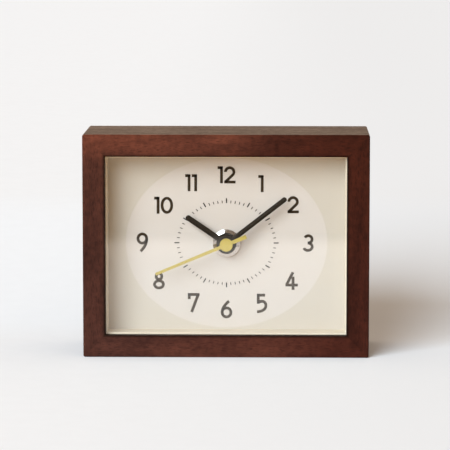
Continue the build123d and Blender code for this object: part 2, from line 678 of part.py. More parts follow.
def snap(side, height, barb, ease):
    """A snap tab of the cover with its barb in the side wall, or with ease the room that it takes."""
    inner = side * (ROOM_HALF - SNAP_THICKNESS)
    wall = side * ROOM_HALF
    end = COVER_FRONT - SNAP_DEPTH - ease
    outline = [
        (inner, COVER_FRONT),
        (inner, end),
        (wall, end),
        (wall + side * barb, end + SNAP_DEPTH / 2 + 2 * ease),
        (wall, end + SNAP_DEPTH / 2 + 2 * ease),
        (wall, COVER_FRONT),
    ]
    half = SNAP_WIDTH / 2 + ease
    return upright(make_face(Polyline(*outline, close=True)), height - half, height + half)


def housing_outline():
    """The outer face of the movement housing, with bevelled corners."""
    outline = oblong(-HOUSING_HALF, HOUSING_HALF, HOUSING_LOW, HOUSING_HIGH)
    return chamfer(outline.vertices(), HOUSING_BEVEL)


def movement_base():
    """The moulded base: floor, walls, battery bay, threaded bush, posts and bearing bosses."""
    outline = housing_outline()
    bay_part = outline & oblong(-HOUSING_HALF, HOUSING_HALF, HOUSING_LOW, ROOM_LOW - HOUSING_GAP)
    base = slab(outline, MOVEMENT_FRONT, COVER_FRONT) + slab(bay_part, COVER_FRONT, COVER_BACK)
    base -= slab(oblong(-ROOM_HALF, ROOM_HALF, ROOM_LOW, ROOM_HIGH), FLOOR_BACK, COVER_FRONT)
    base -= slab(oblong(BAY_LEFT, BAY_RIGHT, BAY_LOW, BAY_HIGH), FLOOR_BACK, COVER_BACK)
    notch = oblong(-FINGER_NOTCH / 2, FINGER_NOTCH / 2, HOUSING_LOW, BAY_LOW)
    base -= slab(notch, BATTERY_DEPTH, COVER_BACK)
    for left in (BAY_LEFT, BAY_RIGHT - TAIL_ROOM):
        slot = oblong(left, left + TAIL_ROOM, BAY_HIGH, ROOM_LOW)
        base -= slab(slot, TAIL_FRONT - CONTACT_GAP, COVER_BACK)
    base += rod(BUSH_RADIUS, BUSH_FRONT, MOVEMENT_FRONT)
    for at in BOARD_POSTS:
        base += slab(Pos(*at) * Rectangle(POST_WIDTH, POST_WIDTH), FLOOR_BACK, BOARD_FRONT)
    for at in STATOR_POSTS:
        base += slab(Pos(*at) * Rectangle(POST_WIDTH, POST_WIDTH), FLOOR_BACK, STATOR_FRONT)
    for at, front, back in studs():
        shoulder = Pos(*at) * RegularPolygon(SHOULDER_RADIUS, 6)
        base += slab(shoulder, FLOOR_BACK, front - 2 * PINION_OVERLAP)
        base += rod(STUD_RADIUS, FLOOR_BACK, back + PINION_OVERLAP, at)
    base -= rod(KNOB_ARBOR_RADIUS + SHAFT_GAP, FLOOR_BACK - PIVOT_DEPTH, FLOOR_BACK, KNOB_AXIS)
    for side, height in SNAP_PLACES:
        base -= snap(side, height, SNAP_BARB + SNAP_GAP, SNAP_GAP)
    return base - rod(HOUR_TUBE_RADIUS + SHAFT_GAP, BUSH_FRONT, FLOOR_BACK)


def movement_cover():
    """The plate that closes the train room and carries the rear ends of the arbors."""
    outline = housing_outline()
    low = ROOM_LOW - HOUSING_GAP + PRESS_GAP
    face = outline & oblong(-HOUSING_HALF, HOUSING_HALF, low, HOUSING_HIGH)
    cover = slab(face, COVER_FRONT, COVER_BACK)
    cover -= rod(PIN_RADIUS + SHAFT_GAP, COVER_FRONT, COVER_FRONT + PIVOT_DEPTH)
    cover -= rod(KNOB_ARBOR_RADIUS + SHAFT_GAP, COVER_FRONT, COVER_BACK, KNOB_AXIS)
    for side, height in SNAP_PLACES:
        cover += snap(side, height, SNAP_BARB, 0.0)
    return cover


def stator_plate():
    """The flat stator: a bar round the rotor and two legs up to the coil core."""
    top = COIL_HEIGHT + CORE_WIDTH / 2
    face = oblong(STATOR_LEFT, STATOR_RIGHT, STATOR_LOW, top)
    face -= oblong(STATOR_LEFT + STATOR_LEG, STATOR_RIGHT - STATOR_LEG, STATOR_HIGH, top)
    face -= Pos(*ROTOR_AXIS) * Circle(STATOR_BORE)
    return slab(face, STATOR_FRONT, STATOR_BACK)


def coil_core():
    """The iron bar through the coil, lying on both stator legs."""
    low = COIL_HEIGHT - CORE_WIDTH / 2
    return slab(oblong(STATOR_LEFT, STATOR_RIGHT, low, low + CORE_WIDTH), STATOR_BACK, CORE_BACK)


def coil_section(height, depth):
    """A rectangle of the side view, centred on the coil."""
    return Pos(COIL_DEPTH, COIL_HEIGHT) * Rectangle(depth, height)


def coil_ends():
    """The left and right end of the bobbin between the stator legs."""
    return STATOR_LEFT + STATOR_LEG + HOUSING_GAP, STATOR_RIGHT - STATOR_LEG - HOUSING_GAP


def coil_bobbin():
    """The bobbin: a square tube round the core between two flanges."""
    left, right = coil_ends()
    hole = coil_section(CORE_WIDTH + 2 * PRESS_GAP, CORE_THICKNESS + 2 * PRESS_GAP)
    neck = coil_section(CORE_WIDTH + 2 * BOBBIN_WALL, CORE_THICKNESS + 2 * BOBBIN_WALL)
    flange = coil_section(FLANGE_HEIGHT, FLANGE_DEPTH)
    bobbin = lengthwise(neck - hole, left, right)
    bobbin += lengthwise(flange - hole, left, left + FLANGE_THICKNESS)
    return bobbin + lengthwise(flange - hole, right - FLANGE_THICKNESS, right)


def coil_winding():
    """The copper winding on the bobbin."""
    left, right = coil_ends()
    outer = coil_section(FLANGE_HEIGHT - 2 * WINDING_INSET, FLANGE_DEPTH - 2 * WINDING_INSET)
    hole = coil_section(
        CORE_WIDTH + 2 * BOBBIN_WALL + 2 * PRESS_GAP,
        CORE_THICKNESS + 2 * BOBBIN_WALL + 2 * PRESS_GAP,
    )
    outer = chamfer(outer.vertices(), 2 * WINDING_INSET)
    inset = FLANGE_THICKNESS + PRESS_GAP
    return lengthwise(outer - hole, left + inset, right - inset)


def circuit_board():
    """The circuit board on its two posts."""
    return slab(oblong(BOARD_LEFT, BOARD_RIGHT, BOARD_LOW, BOARD_HIGH), BOARD_FRONT, BOARD_BACK)


def chip():
    """The chip on the front of the board."""
    left = 0.35 * BOARD_RIGHT
    low = BOARD_MIDDLE - CHIP_WIDTH / 2
    face = oblong(left, left + CHIP_WIDTH, low, low + CHIP_WIDTH)
    return slab(face, BOARD_FRONT - CHIP_HEIGHT, BOARD_FRONT)


def quartz_crystal():
    """The crystal can lying on the front of the board."""
    left = 0.35 * BOARD_LEFT - CRYSTAL_LENGTH / 2
    section = Pos(BOARD_FRONT - CRYSTAL_RADIUS, BOARD_MIDDLE) * Circle(CRYSTAL_RADIUS)
    return lengthwise(section, left, left + CRYSTAL_LENGTH)


def battery():
    """The round cell, with its nub to the right."""
    body = BATTERY_LENGTH - BATTERY_NUB_LENGTH
    profile = Polygon(
        (0, 0), (BATTERY_LENGTH, 0), (BATTERY_LENGTH, BATTERY_NUB_RADIUS), (body, BATTERY_NUB_RADIUS),
        (body, BATTERY_RADIUS - BATTERY_EASE), (body - BATTERY_EASE, BATTERY_RADIUS),
        (0, BATTERY_RADIUS), align=None,
    )
    return Pos(BATTERY_LEFT, BATTERY_DEPTH, SHAFT_HEIGHT + BATTERY_HEIGHT) * revolve(profile, Axis.X)


def contact_tail(left, right):
    """The strip that runs from a contact up to the circuit board."""
    return upright(oblong(left, right, TAIL_FRONT, BOARD_BACK), BATTERY_HEIGHT, BOARD_MIDDLE)


def contact_plus():
    """The plate that the battery nub presses on."""
    left = BAY_RIGHT - CONTACT_THICKNESS
    low = BATTERY_HEIGHT - CONTACT_WIDTH / 2
    front = BATTERY_DEPTH - CONTACT_WIDTH / 2
    plate = upright(oblong(left, BAY_RIGHT, front, BOARD_BACK), low, low + CONTACT_WIDTH)
    return plate + contact_tail(left, BAY_RIGHT)


def contact_minus():
    """The bent leaf that presses on the flat end of the battery."""
    wall = BAY_LEFT
    face = wall + CONTACT_THICKNESS
    apex = wall + SPRING_ROOM
    front = 2 * BATTERY_DEPTH - TAIL_FRONT
    low = BATTERY_HEIGHT - CONTACT_WIDTH / 2
    leaf = Polygon(
        (wall, BOARD_BACK), (wall, TAIL_FRONT), (apex - CONTACT_THICKNESS, BATTERY_DEPTH), (wall, front),
        (face, front), (apex, BATTERY_DEPTH), (face, TAIL_FRONT), (face, BOARD_BACK), align=None,
    )
    return upright(leaf, low, low + CONTACT_WIDTH) + contact_tail(wall, face)


def set_knob():
    """The setting knob with its arbor and pinion."""
    phase = meshed_phase(MINUTE_TEETH, MINUTE_AXIS, CANNON_TEETH, SHAFT_AXIS)
    phase = meshed_phase(KNOB_TEETH, KNOB_AXIS, MINUTE_TEETH, MINUTE_AXIS, phase)
    face = Pos(*KNOB_AXIS) * pinion_face(KNOB_TEETH, CANNON_MODULE, phase)
    front = COVER_BACK + KNOB_CLEARANCE
    knob = slab(face, MINUTE_FRONT - PINION_OVERLAP, MINUTE_BACK + PINION_OVERLAP)
    knob += rod(KNOB_ARBOR_RADIUS, FLOOR_BACK - PIVOT_DEPTH + 2 * SHAFT_GAP, front, KNOB_AXIS)
    points = []
    for n in range(KNOB_RIDGES):
        points.append(polar(KNOB_RADIUS, 360 * n / KNOB_RIDGES))
        points.append(polar(KNOB_RADIUS - KNOB_RIDGE_DEPTH, 360 * (n + 0.5) / KNOB_RIDGES))
    grip = make_face(Polyline(*points, close=True))
    return knob + slab(Pos(*KNOB_AXIS) * grip, front, front + KNOB_LENGTH)


def pieces():
    """Every node of the clock by name."""
    nodes = case_boards()
    makers = [
        front_glass, dial_surround, dial_plate, glue_blocks, back_panel, back_panel_screws,
        mounting_washer, centre_nut, hour_hand, minute_hand, second_hand,
        movement_base, movement_cover, hour_wheel, cannon_pinion, minute_wheel, centre_wheel,
        third_wheel, second_wheel, intermediate_wheel, rotor_pinion, rotor_magnet,
        stator_plate, coil_core, coil_bobbin, coil_winding, circuit_board, chip, quartz_crystal,
        battery, contact_plus, contact_minus, set_knob,
    ]
    for maker in makers:
        nodes[maker.__name__] = maker()
    return nodes


def main():
    """Writes one file per node."""
    os.makedirs("parts", exist_ok=True)
    for name, shape in pieces().items():
        export_step(shape, f"parts/{name}.step")


if __name__ == "__main__":
    main()
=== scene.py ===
"""Finishes, dial print, fittings and studio for a wooden desk clock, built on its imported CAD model."""

import math

import bmesh
import bpy
from bpy.props import FloatProperty, FloatVectorProperty, IntProperty, PointerProperty
from mathutils import Matrix, Vector


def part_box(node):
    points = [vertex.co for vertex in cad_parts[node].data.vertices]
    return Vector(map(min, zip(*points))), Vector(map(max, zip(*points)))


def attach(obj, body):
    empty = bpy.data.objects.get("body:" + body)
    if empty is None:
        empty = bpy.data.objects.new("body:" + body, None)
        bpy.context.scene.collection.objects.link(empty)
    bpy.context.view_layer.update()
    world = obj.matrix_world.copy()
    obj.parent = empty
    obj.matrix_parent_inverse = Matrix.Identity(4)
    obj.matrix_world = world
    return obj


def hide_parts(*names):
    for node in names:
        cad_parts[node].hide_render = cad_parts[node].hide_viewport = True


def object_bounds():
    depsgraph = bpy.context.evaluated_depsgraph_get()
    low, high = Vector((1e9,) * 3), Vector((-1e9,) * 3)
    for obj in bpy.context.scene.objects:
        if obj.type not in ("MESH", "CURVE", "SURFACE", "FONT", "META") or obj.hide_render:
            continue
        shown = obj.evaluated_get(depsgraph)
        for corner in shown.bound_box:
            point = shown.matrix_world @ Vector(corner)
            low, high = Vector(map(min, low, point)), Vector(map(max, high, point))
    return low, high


bl_info = {
    "name": "Wooden desk clock",
    "version": (1, 0, 0),
    "blender": (4, 5, 0),
    "location": "View3D > Sidebar > Desk clock",
    "description": "Finishes, dial print, fittings and studio for a mitred wooden desk clock",
    "category": "Object",
}

# The frame and the places that the pieces take from it
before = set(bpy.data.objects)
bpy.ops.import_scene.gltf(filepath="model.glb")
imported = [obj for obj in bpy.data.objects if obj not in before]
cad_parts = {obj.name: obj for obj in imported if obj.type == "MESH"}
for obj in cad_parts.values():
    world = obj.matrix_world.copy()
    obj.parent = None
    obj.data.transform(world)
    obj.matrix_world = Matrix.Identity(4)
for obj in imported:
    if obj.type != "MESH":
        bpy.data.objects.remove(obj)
CAD_LOW, CAD_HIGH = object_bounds()
NUT_LOW, NUT_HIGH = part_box("centre_nut")
SCREWS_LOW, SCREWS_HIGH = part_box("back_panel_screws")
COVER_LOW, COVER_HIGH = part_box("movement_cover")
KNOB_LOW, KNOB_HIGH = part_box("set_knob")
CELL_LOW, CELL_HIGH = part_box("battery")
DIAL_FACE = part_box("dial_plate")[0].y
PANEL_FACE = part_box("back_panel")[1].y
WINDOW_LEFT, WINDOW_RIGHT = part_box("case_left")[1].x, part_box("case_right")[0].x
WINDOW_LOW, WINDOW_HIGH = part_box("case_bottom")[1].z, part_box("case_top")[0].z
SHAFT = (NUT_LOW + NUT_HIGH) / 2
KNOB_AXIS = (KNOB_LOW + KNOB_HIGH) / 2
MM = 0.001
IMAGE_WIDTH = 450
SENSOR_WIDTH = 36.0
CAMERA_SIGHT = 100.0


def prop(kind, **fixed):
    """A short way to write one kind of setting: its name, its description and its default."""

    def make(name, description, default):
        return kind(name=name, description=description, default=default, **fixed)

    return make


# Kinds of settings that a user may change, with lengths in metres and linear colours
length_prop = prop(FloatProperty, min=0.0, precision=5, unit="LENGTH", subtype="DISTANCE")
colour_prop = prop(FloatVectorProperty, size=3, min=0.0, max=1.0, subtype="COLOR")
share_prop = prop(FloatProperty, min=0.0, max=1.0, subtype="FACTOR")
strength_prop = prop(FloatProperty, min=0.0)
angle_prop = prop(FloatProperty, subtype="ANGLE")
pixel_prop = prop(FloatProperty, subtype="PIXEL")
way_prop = prop(FloatVectorProperty, subtype="XYZ")
place_prop = prop(FloatVectorProperty, subtype="TRANSLATION")
count_prop = prop(IntProperty, min=12)


class CaseLooks(bpy.types.PropertyGroup):
    """Finishes of the case, its glass, the back panel and their screws."""

    wood_light: colour_prop("Light wood", "Lighter tone of the stained boards", (0.0975, 0.0282, 0.0162))
    wood_dark: colour_prop("Dark wood", "Darker tone of the stained boards", (0.0433, 0.0128, 0.0079))
    wood_roughness: share_prop("Lacquer roughness", "Roughness of the satin lacquer", 0.42)
    wood_gloss: share_prop("Lacquer gloss", "How strongly the lacquer mirrors", 0.09)
    panel_colour: colour_prop("Back panel", "Colour of the rear hardboard", (0.105, 0.052, 0.028))
    block_colour: colour_prop("Glue blocks", "Colour of the sawn wooden blocks", (0.46, 0.31, 0.17))
    steel_colour: colour_prop("Plated steel", "Colour of the screws and contacts", (0.66, 0.65, 0.62))
    glass_colour: colour_prop("Glass", "Colour of the pane", (0.985, 0.99, 0.985))
    glass_shade: colour_prop("Glass shade", "Light that the pane lets through", (0.96, 0.962, 0.96))
    glass_index: strength_prop("Glass index", "How strongly the pane bends light", 1.63)
    # Painted shade: a dark line round the window on the glass, for the shadow where the case meets the
    # glass
    bead_colour: colour_prop("Painted shade line", "Painted shade line round the glass", (0.026, 0.012, 0.008))
    bead_width: length_prop("Bead width", "Width of the painted shade line round the glass", 0.16 * MM)
    screw_head_radius: length_prop("Screw head", "Radius of the screw heads", 1.55 * MM)
    screw_shank_radius: length_prop("Screw shank", "Radius of the screw shanks", 0.85 * MM)


class DialPrint(bpy.types.PropertyGroup):
    """Sizes and colours of what is printed on the dial."""

    numeral_height: length_prop("Numeral height", "Height of the figure one", 6.87 * MM)
    numeral_weight: length_prop("Numeral weight", "Width of the strokes of the numerals", 1.15 * MM)
    numeral_half_width: length_prop("Numeral ring half width", "From the shaft to three", 33.4 * MM)
    numeral_half_height: length_prop("Numeral ring half height", "From the shaft to twelve", 27.1 * MM)
    ring_half_width: length_prop("Stroke ring half width", "Inner half width of the ring", 19.1 * MM)
    ring_half_height: length_prop("Stroke ring half height", "Inner half height of the ring", 16.2 * MM)
    hour_stroke_length: length_prop("Hour stroke length", "Length of every fifth stroke", 2.0 * MM)
    hour_stroke_width: length_prop("Hour stroke width", "Width of every fifth stroke", 0.5 * MM)
    minute_stroke_length: length_prop("Minute stroke length", "Length of the other strokes", 1.1 * MM)
    minute_stroke_width: length_prop("Minute stroke width", "Width of the other strokes", 0.33 * MM)
    minutes: count_prop("Minutes", "Strokes round the whole ring", 60)
    ink_thickness: length_prop("Ink thickness", "How far the print stands on the dial", 0.03 * MM)
    oval_half_width: length_prop("Oval half width", "Half width of the pale printed oval", 40.8 * MM)
    oval_half_height: length_prop("Oval half height", "Half height of the pale printed oval", 34.6 * MM)
    oval_edge: length_prop("Oval edge", "Softness of the edge of the oval", 0.25 * MM)
    ink_colour: colour_prop("Ink", "Colour of the numerals", (0.039, 0.0262, 0.0148))
    stroke_colour: colour_prop("Stroke ink", "Colour of the ring of strokes", (0.018, 0.0145, 0.012))
    oval_colour: colour_prop("Oval", "Colour inside the printed oval", (0.523, 0.467, 0.411))
    ground_colour: colour_prop("Ground", "Colour of the dial outside the oval", (0.478, 0.421, 0.345))
    surround_colour: colour_prop("Surround", "Colour of the frame round the dial", (0.66, 0.56, 0.42))


class HandLooks(bpy.types.PropertyGroup):
    """Finishes of the hands and the nut."""

    hand_colour: colour_prop("Hands", "Paint of the hour and minute hand", (0.023, 0.0165, 0.011))
    second_colour: colour_prop("Second hand", "Paint of the second hand", (0.402, 0.303, 0.058))
    nickel_colour: colour_prop("Nickel", "Colour of the polished nut", (0.70, 0.63, 0.58))


class MovementLooks(bpy.types.PropertyGroup):
    """Finishes and moulded signs of the movement."""

    housing_colour: colour_prop("Housing", "Moulded plastic of the housing", (0.036, 0.036, 0.037))
    wheel_colour: colour_prop("Wheels", "Moulded plastic of the wheels", (0.72, 0.71, 0.67))
    bobbin_colour: colour_prop("Bobbin", "Moulded plastic of the bobbin", (0.66, 0.62, 0.50))
    brass_colour: colour_prop("Brass", "Turned brass of the arbors", (0.72, 0.51, 0.20))
    iron_colour: colour_prop("Iron", "Stamped iron of the motor", (0.50, 0.49, 0.47))
    magnet_colour: colour_prop("Magnet", "Sintered magnet of the rotor", (0.16, 0.16, 0.165))
    copper_colour: colour_prop("Copper", "Enamelled wire of the coil", (0.60, 0.24, 0.09))
    board_colour: colour_prop("Circuit board", "Lacquer of the circuit board", (0.028, 0.17, 0.065))
    resin_colour: colour_prop("Resin", "Body of the chip", (0.015, 0.015, 0.016))
    rubber_colour: colour_prop("Rubber", "Washer between dial and movement", (0.018, 0.018, 0.018))
    cell_colour: colour_prop("Cell", "Sleeve of the battery", (0.05, 0.12, 0.22))
    cell_band_colour: colour_prop("Cell band", "Band at the plus end", (0.62, 0.62, 0.60))
    cell_cap_colour: colour_prop("Cell caps", "Bare metal at both ends", (0.72, 0.71, 0.69))
    sign_weight: length_prop("Sign weight", "Stroke width of the moulded signs", 0.6 * MM)
    sign_height: length_prop("Sign height", "How far the signs stand up", 0.3 * MM)


class StudioSettings(bpy.types.PropertyGroup):
    """Floor, light and camera."""

    floor_colour: colour_prop("Floor", "Colour of the plain floor", (0.848, 0.851, 0.849))
    rise_start: length_prop("Rise start", "Where the floor starts to rise behind the clock", 24 * MM)
    rise_length: length_prop("Rise length", "How long the floor rises behind the clock", 280 * MM)
    rise_slope: share_prop("Rise slope", "Height over length where the floor rises", 0.132)
    # Painted shade: the rise is painted darker where it faces the front, against the extra light it gets
    rise_tone: share_prop("Rise tone", "How much darker the paper is where it is steep", 0.70)
    camera_place: place_prop("Camera", "Place of the camera", (0.0229, -1.1069, 0.1865))
    camera_heading: angle_prop("Heading", "Turn of the camera to the left", math.radians(1.227))
    camera_tilt: angle_prop("Tilt", "Angle of the camera below level", math.radians(6.967))
    focal_pixels: pixel_prop("Focal length", "Focal length in pixels of the picture", 2732.9)
    key_from: way_prop("Key from", "Where the main light comes from", (-0.57, -1.0, 0.53))
    key_strength: strength_prop("Key strength", "Strength of the main light", 5.15)
    key_spread: angle_prop("Key spread", "Width of the main light", math.radians(44.0))
    key_colour: colour_prop("Key colour", "Colour of the main light", (0.76, 0.882, 1.0))
    sky_colour: colour_prop("Sky", "Colour of the light from overhead and behind", (1.0, 0.83, 0.69))
    front_colour: colour_prop("Front", "Colour of the light from the room in front", (1.0, 0.76, 0.54))
    backdrop: share_prop("Backdrop light", "Brightness of the studio overhead and behind", 0.57)
    room_front: share_prop("Front light", "Brightness of the room in front of the clock", 0.54)
    room_mirrored: share_prop("Mirrored share", "Share of the front light that mirrors show", 0.33)
    sky_mirrored: strength_prop("Mirrored sky", "Brightness of the sky that mirrors show", 1.09)
    mirrored_colour: colour_prop("Mirrored colour", "Sky colour that mirrors show", (1.0, 0.79, 0.575))
    above_mirrored: share_prop("Mirrored overhead", "Light overhead that mirrors show", 0.15)
    room_dark: share_prop("Room", "Brightness of the room beyond the table", 0.015)
    seen_colour: colour_prop("Backdrop", "Colour of the backdrop in the picture", (0.905, 0.90, 0.895))
    table_reach: length_prop("Table reach", "Bright table in front of the clock", 0.385)
    bounce_reach: length_prop("Bounce reach", "Where the floor in front starts to throw warm light", 0.25)
    bounce_strength: strength_prop("Bounce", "Strength of the warm light", 2.1)
    bounce_colour: colour_prop("Bounce colour", "Colour of the warm light", (1.0, 0.56, 0.19))
    table_fade: length_prop("Table fade", "How far the edge of the table is blurred", 0.035)
    table_glow: share_prop("Table glow", "How much brighter mirrors show the table", 0.12)
    glow_colour: colour_prop("Glow colour", "Glow on the mirrored table", (1.0, 0.68, 0.37))


def settings(context, name):
    """The property group of this file that has that name."""
    return getattr(context.scene, "desk_clock_" + name)


# Types of the sockets that a plain default stands for
SOCKET_TYPES = {float: "Float", int: "Int", tuple: "Color"}

# Colour sockets of a Mix node: both inputs and the result
MIX_FIRST, MIX_SECOND, MIX_RESULT = 6, 7, 2

# Ranges of noise that cover most of it and nearly all of it
NOISE_MOST = (0.3, 0.7)
NOISE_ALL = (0.25, 0.75)

# Turns of grain that runs along x, upright and from front to rear
LEVEL = (0.0, 0.0, 0.0)
UPRIGHT = (0.0, math.radians(90), 0.0)
LENGTHWISE = (0.0, 0.0, math.radians(90))


class Net:
    """A node tree and short ways to add to it."""

    def __init__(self, tree):
        self.tree = tree

    def add(self, kind, inputs=None, **values):
        """Adds a node, sets its plain attributes and feeds its inputs."""
        node = self.tree.nodes.new(kind)
        for name, value in values.items():
            setattr(node, name, value)
        self.feed(node, inputs or {})
        return node

    def feed(self, node, inputs):
        """Links outputs to the inputs of a node, or sets plain values on them."""
        for name, value in inputs.items():
            socket = node.inputs[name]
            if isinstance(value, bpy.types.NodeSocket):
                self.tree.links.new(value, socket)
            elif socket.type == "RGBA" and len(value) == 3:
                socket.default_value = (*value, 1.0)
            else:
                socket.default_value = value

    def math(self, operation, *values):
        """The result of a math node on numbers or outputs."""
        return self.add("ShaderNodeMath", dict(enumerate(values)), operation=operation).outputs[0]

    def times(self, first, second):
        """A product."""
        return self.math("MULTIPLY", first, second)

    def squares(self, first, second):
        """The sum of two squares."""
        return self.math("MULTIPLY_ADD", first, first, self.times(second, second))

    def away(self, value, middle):
        """How far a value is from a middle."""
        return self.math("ABSOLUTE", self.math("SUBTRACT", value, middle))

    def ramp(self, value, low, high, from_low=0.0, from_high=1.0):
        """A value carried smoothly from one range to another."""
        ends = {"From Min": from_low, "From Max": from_high, "To Min": low, "To Max": high}
        node = self.add("ShaderNodeMapRange", {"Value": value, **ends}, interpolation_type="SMOOTHSTEP")
        return node.outputs["Result"]

    def blend(self, share, first, second, how="MIX"):
        """A colour between two colours, or one laid over the other."""
        inputs = {"Factor": share, MIX_FIRST: first, MIX_SECOND: second}
        return self.add("ShaderNodeMix", inputs, data_type="RGBA", blend_type=how).outputs[MIX_RESULT]

    def noise(self, vector, scale, detail=2.0, roughness=0.5):
        """Plain noise at a scale per metre."""
        inputs = {"Vector": vector, "Scale": scale, "Detail": detail, "Roughness": roughness}
        return self.add("ShaderNodeTexNoise", inputs).outputs["Fac"]

    def waves(self, vector, axis, scale, distortion):
        """Bands across an axis."""
        inputs = {"Vector": vector, "Scale": scale, "Distortion": distortion}
        return self.add("ShaderNodeTexWave", inputs, bands_direction=axis).outputs["Fac"]

    def mapped(self, vector, scale=(1.0, 1.0, 1.0), turn=LEVEL):
        """Coordinates turned and scaled."""
        inputs = {"Vector": vector, "Rotation": turn, "Scale": scale}
        return self.add("ShaderNodeMapping", inputs).outputs["Vector"]

    def split(self, vector):
        """The three parts of a vector, by axis."""
        return self.add("ShaderNodeSeparateXYZ", {"Vector": vector}).outputs

    def joined(self, axes):
        """A vector from its parts by axis."""
        return self.add("ShaderNodeCombineXYZ", axes).outputs["Vector"]

    def place(self):
        """Object coordinates, which are those of the frame."""
        return self.add("ShaderNodeTexCoord").outputs["Object"]

    def rays(self):
        """The kinds of light path."""
        return self.add("ShaderNodeLightPath").outputs

    def group(self, build, vector, inputs=None):
        """The outputs of a shared shader group."""
        given = {"Vector": vector, **(inputs or {})}
        return self.add("ShaderNodeGroup", given, node_tree=shared(build)).outputs

    def surface(self, first, seconds):
        """Ends a material in a shader that others take over by a share."""
        for share, second in seconds:
            inputs = {0: share, 1: first, 2: second}
            first = self.add("ShaderNodeMixShader", inputs).outputs["Shader"]
        self.feed(self.tree.nodes["Material Output"], {"Surface": first})


class Finish(Net):
    """A material with a Principled node."""

    def __init__(self, name):
        self.material = bpy.data.materials.new(name)
        self.material.use_nodes = True
        super().__init__(self.material.node_tree)
        self.principled = self.tree.nodes["Principled BSDF"]

    def look(self, colour, roughness, height, depth, metallic=0.0, gloss=0.5):
        """Gives the Principled node its look, with a bump of some depth, and returns the material."""
        bump = self.add("ShaderNodeBump", {"Height": height, "Distance": depth, "Strength": 1.0})
        inputs = {
            "Base Color": colour,
            "Roughness": roughness,
            "Metallic": metallic,
            "Specular IOR Level": gloss,
            "Normal": bump.outputs["Normal"],
        }
        self.feed(self.principled, inputs)
        return self.material


def shared(build):
    """The node group of a function, built once."""
    name = build.__name__.replace("_", " ")
    return bpy.data.node_groups.get(name) or build(name)


def new_group(name, tree_kind, inputs, outputs):
    """A node group: its net, what it is given and its end. Inputs name a default or a type of socket."""
    tree = bpy.data.node_groups.new(name, tree_kind)
    for socket, default in inputs.items():
        kind = SOCKET_TYPES.get(type(default), default)
        made = tree.interface.new_socket(socket, in_out="INPUT", socket_type="NodeSocket" + kind)
        if kind != default:
            made.default_value = default
    for socket, kind in outputs.items():
        tree.interface.new_socket(socket, in_out="OUTPUT", socket_type="NodeSocket" + kind)
    net = Net(tree)
    return net, net.add("NodeGroupInput").outputs, net.add("NodeGroupOutput")


def shader_group(name, inputs, *outputs, kind="Float"):
    """A shader group that works on coordinates."""
    return new_group(name, "ShaderNodeTree", {"Vector": "Vector", **inputs}, dict.fromkeys(outputs, kind))


def wood_figure(name):
    """Grain that runs along x: broad figure, fine pores and the height of both."""
    scales = {"Figure Scale": 45.0, "Pore Scale": 420.0}
    net, given, made = shader_group(name, scales, "Figure", "Pores", "Height")
    along = net.mapped(given["Vector"], (1.0, 6.0, 6.0))
    broad = net.ramp(net.noise(along, given["Figure Scale"], 4.0, 0.55), 0.0, 1.0, *NOISE_MOST)
    fine = net.ramp(net.noise(given["Vector"], given["Pore Scale"]), 0.0, 1.0, *NOISE_ALL)
    fleck = net.noise(along, given["Pore Scale"], 3.0, 0.6)
    figure = net.math("MULTIPLY_ADD", broad, 0.55, net.times(fine, 0.45))
    pores = net.ramp(fleck, 1.0, 0.0, 0.34, 0.50)
    height = net.math("SUBTRACT", net.times(figure, 0.2), pores)
    net.feed(made, {"Figure": figure, "Pores": pores, "Height": height})
    return net.tree


def grain_group(name, inputs, low, high):
    """A group for a roughness between two ends, a tone and a height."""
    ends = {"Low Roughness": low, "High Roughness": high}
    return shader_group(name, {**inputs, **ends}, "Roughness", "Tone", "Height")


def end_grain(net, given, made, cloud, height):
    """Ends such a group: roughness and tone follow a cloud."""
    rough = net.ramp(cloud, given["Low Roughness"], given["High Roughness"], *NOISE_MOST)
    tone = net.ramp(cloud, 0.0, 1.0, *NOISE_ALL)
    net.feed(made, {"Roughness": rough, "Tone": tone, "Height": height})
    return net.tree


def fine_grain(name):
    """Fine even grain of paint and moulded plastic."""
    net, given, made = grain_group(name, {"Scale": 2500.0}, 0.4, 0.55)
    cloud = net.noise(given["Vector"], 120.0, 3.0)
    return end_grain(net, given, made, cloud, net.noise(given["Vector"], given["Scale"]))


def drawn_streaks(name):
    """Fine streaks of rolled, drawn or turned metal."""
    net, given, made = grain_group(name, {}, 0.2, 0.35)
    streak = net.noise(net.mapped(given["Vector"], (1.0, 25.0, 25.0)), 300.0, 3.0)
    return end_grain(net, given, made, streak, streak)


def darker(colour, share):
    """A colour scaled by a share, mostly towards black."""
    return tuple(channel * share for channel in colour)


def grained(name, colour, low, high, scale=2500.0, depth=0.004 * MM, contrast=0.85, gloss=0.5):
    """Paint or moulded plastic with fine even grain."""
    net = Finish(name)
    inputs = {"Scale": scale, "Low Roughness": low, "High Roughness": high}
    grain = net.group(fine_grain, net.place(), inputs)
    tone = net.blend(grain["Tone"], darker(colour, contrast), colour)
    return net.look(tone, grain["Roughness"], grain["Height"], depth, gloss=gloss)


def drawn_metal(name, colour, low, high, turn=LEVEL, contrast=0.85):
    """Bare or plated metal with fine streaks along x before the turn."""
    net = Finish(name)
    ends = {"Low Roughness": low, "High Roughness": high}
    streaks = net.group(drawn_streaks, net.mapped(net.place(), turn=turn), ends)
    tone = net.blend(streaks["Tone"], darker(colour, contrast), colour)
    return net.look(tone, streaks["Roughness"], streaks["Height"], 0.002 * MM, metallic=1.0)


# Where the case is paler: middle, where it starts and ends to fade, height of its edge of the case, share
PALE_PATCHES = [
    (SHAFT.x - 35 * MM, 27 * MM, 58 * MM, CAD_HIGH.z, 1.0),
    (SHAFT.x, 12 * MM, 45 * MM, CAD_LOW.z, 0.4),
]

# Where these patches fade up and down from their edge and to the rear, and the painted shade beside the
# window
PATCH_FADE = (2 * MM, 14 * MM)
FRONT_FADE = (CAD_LOW.y + 0.5 * MM, CAD_LOW.y + 3 * MM)
PAINTED_EDGE_SHADE = (0.1 * MM, 1.2 * MM)


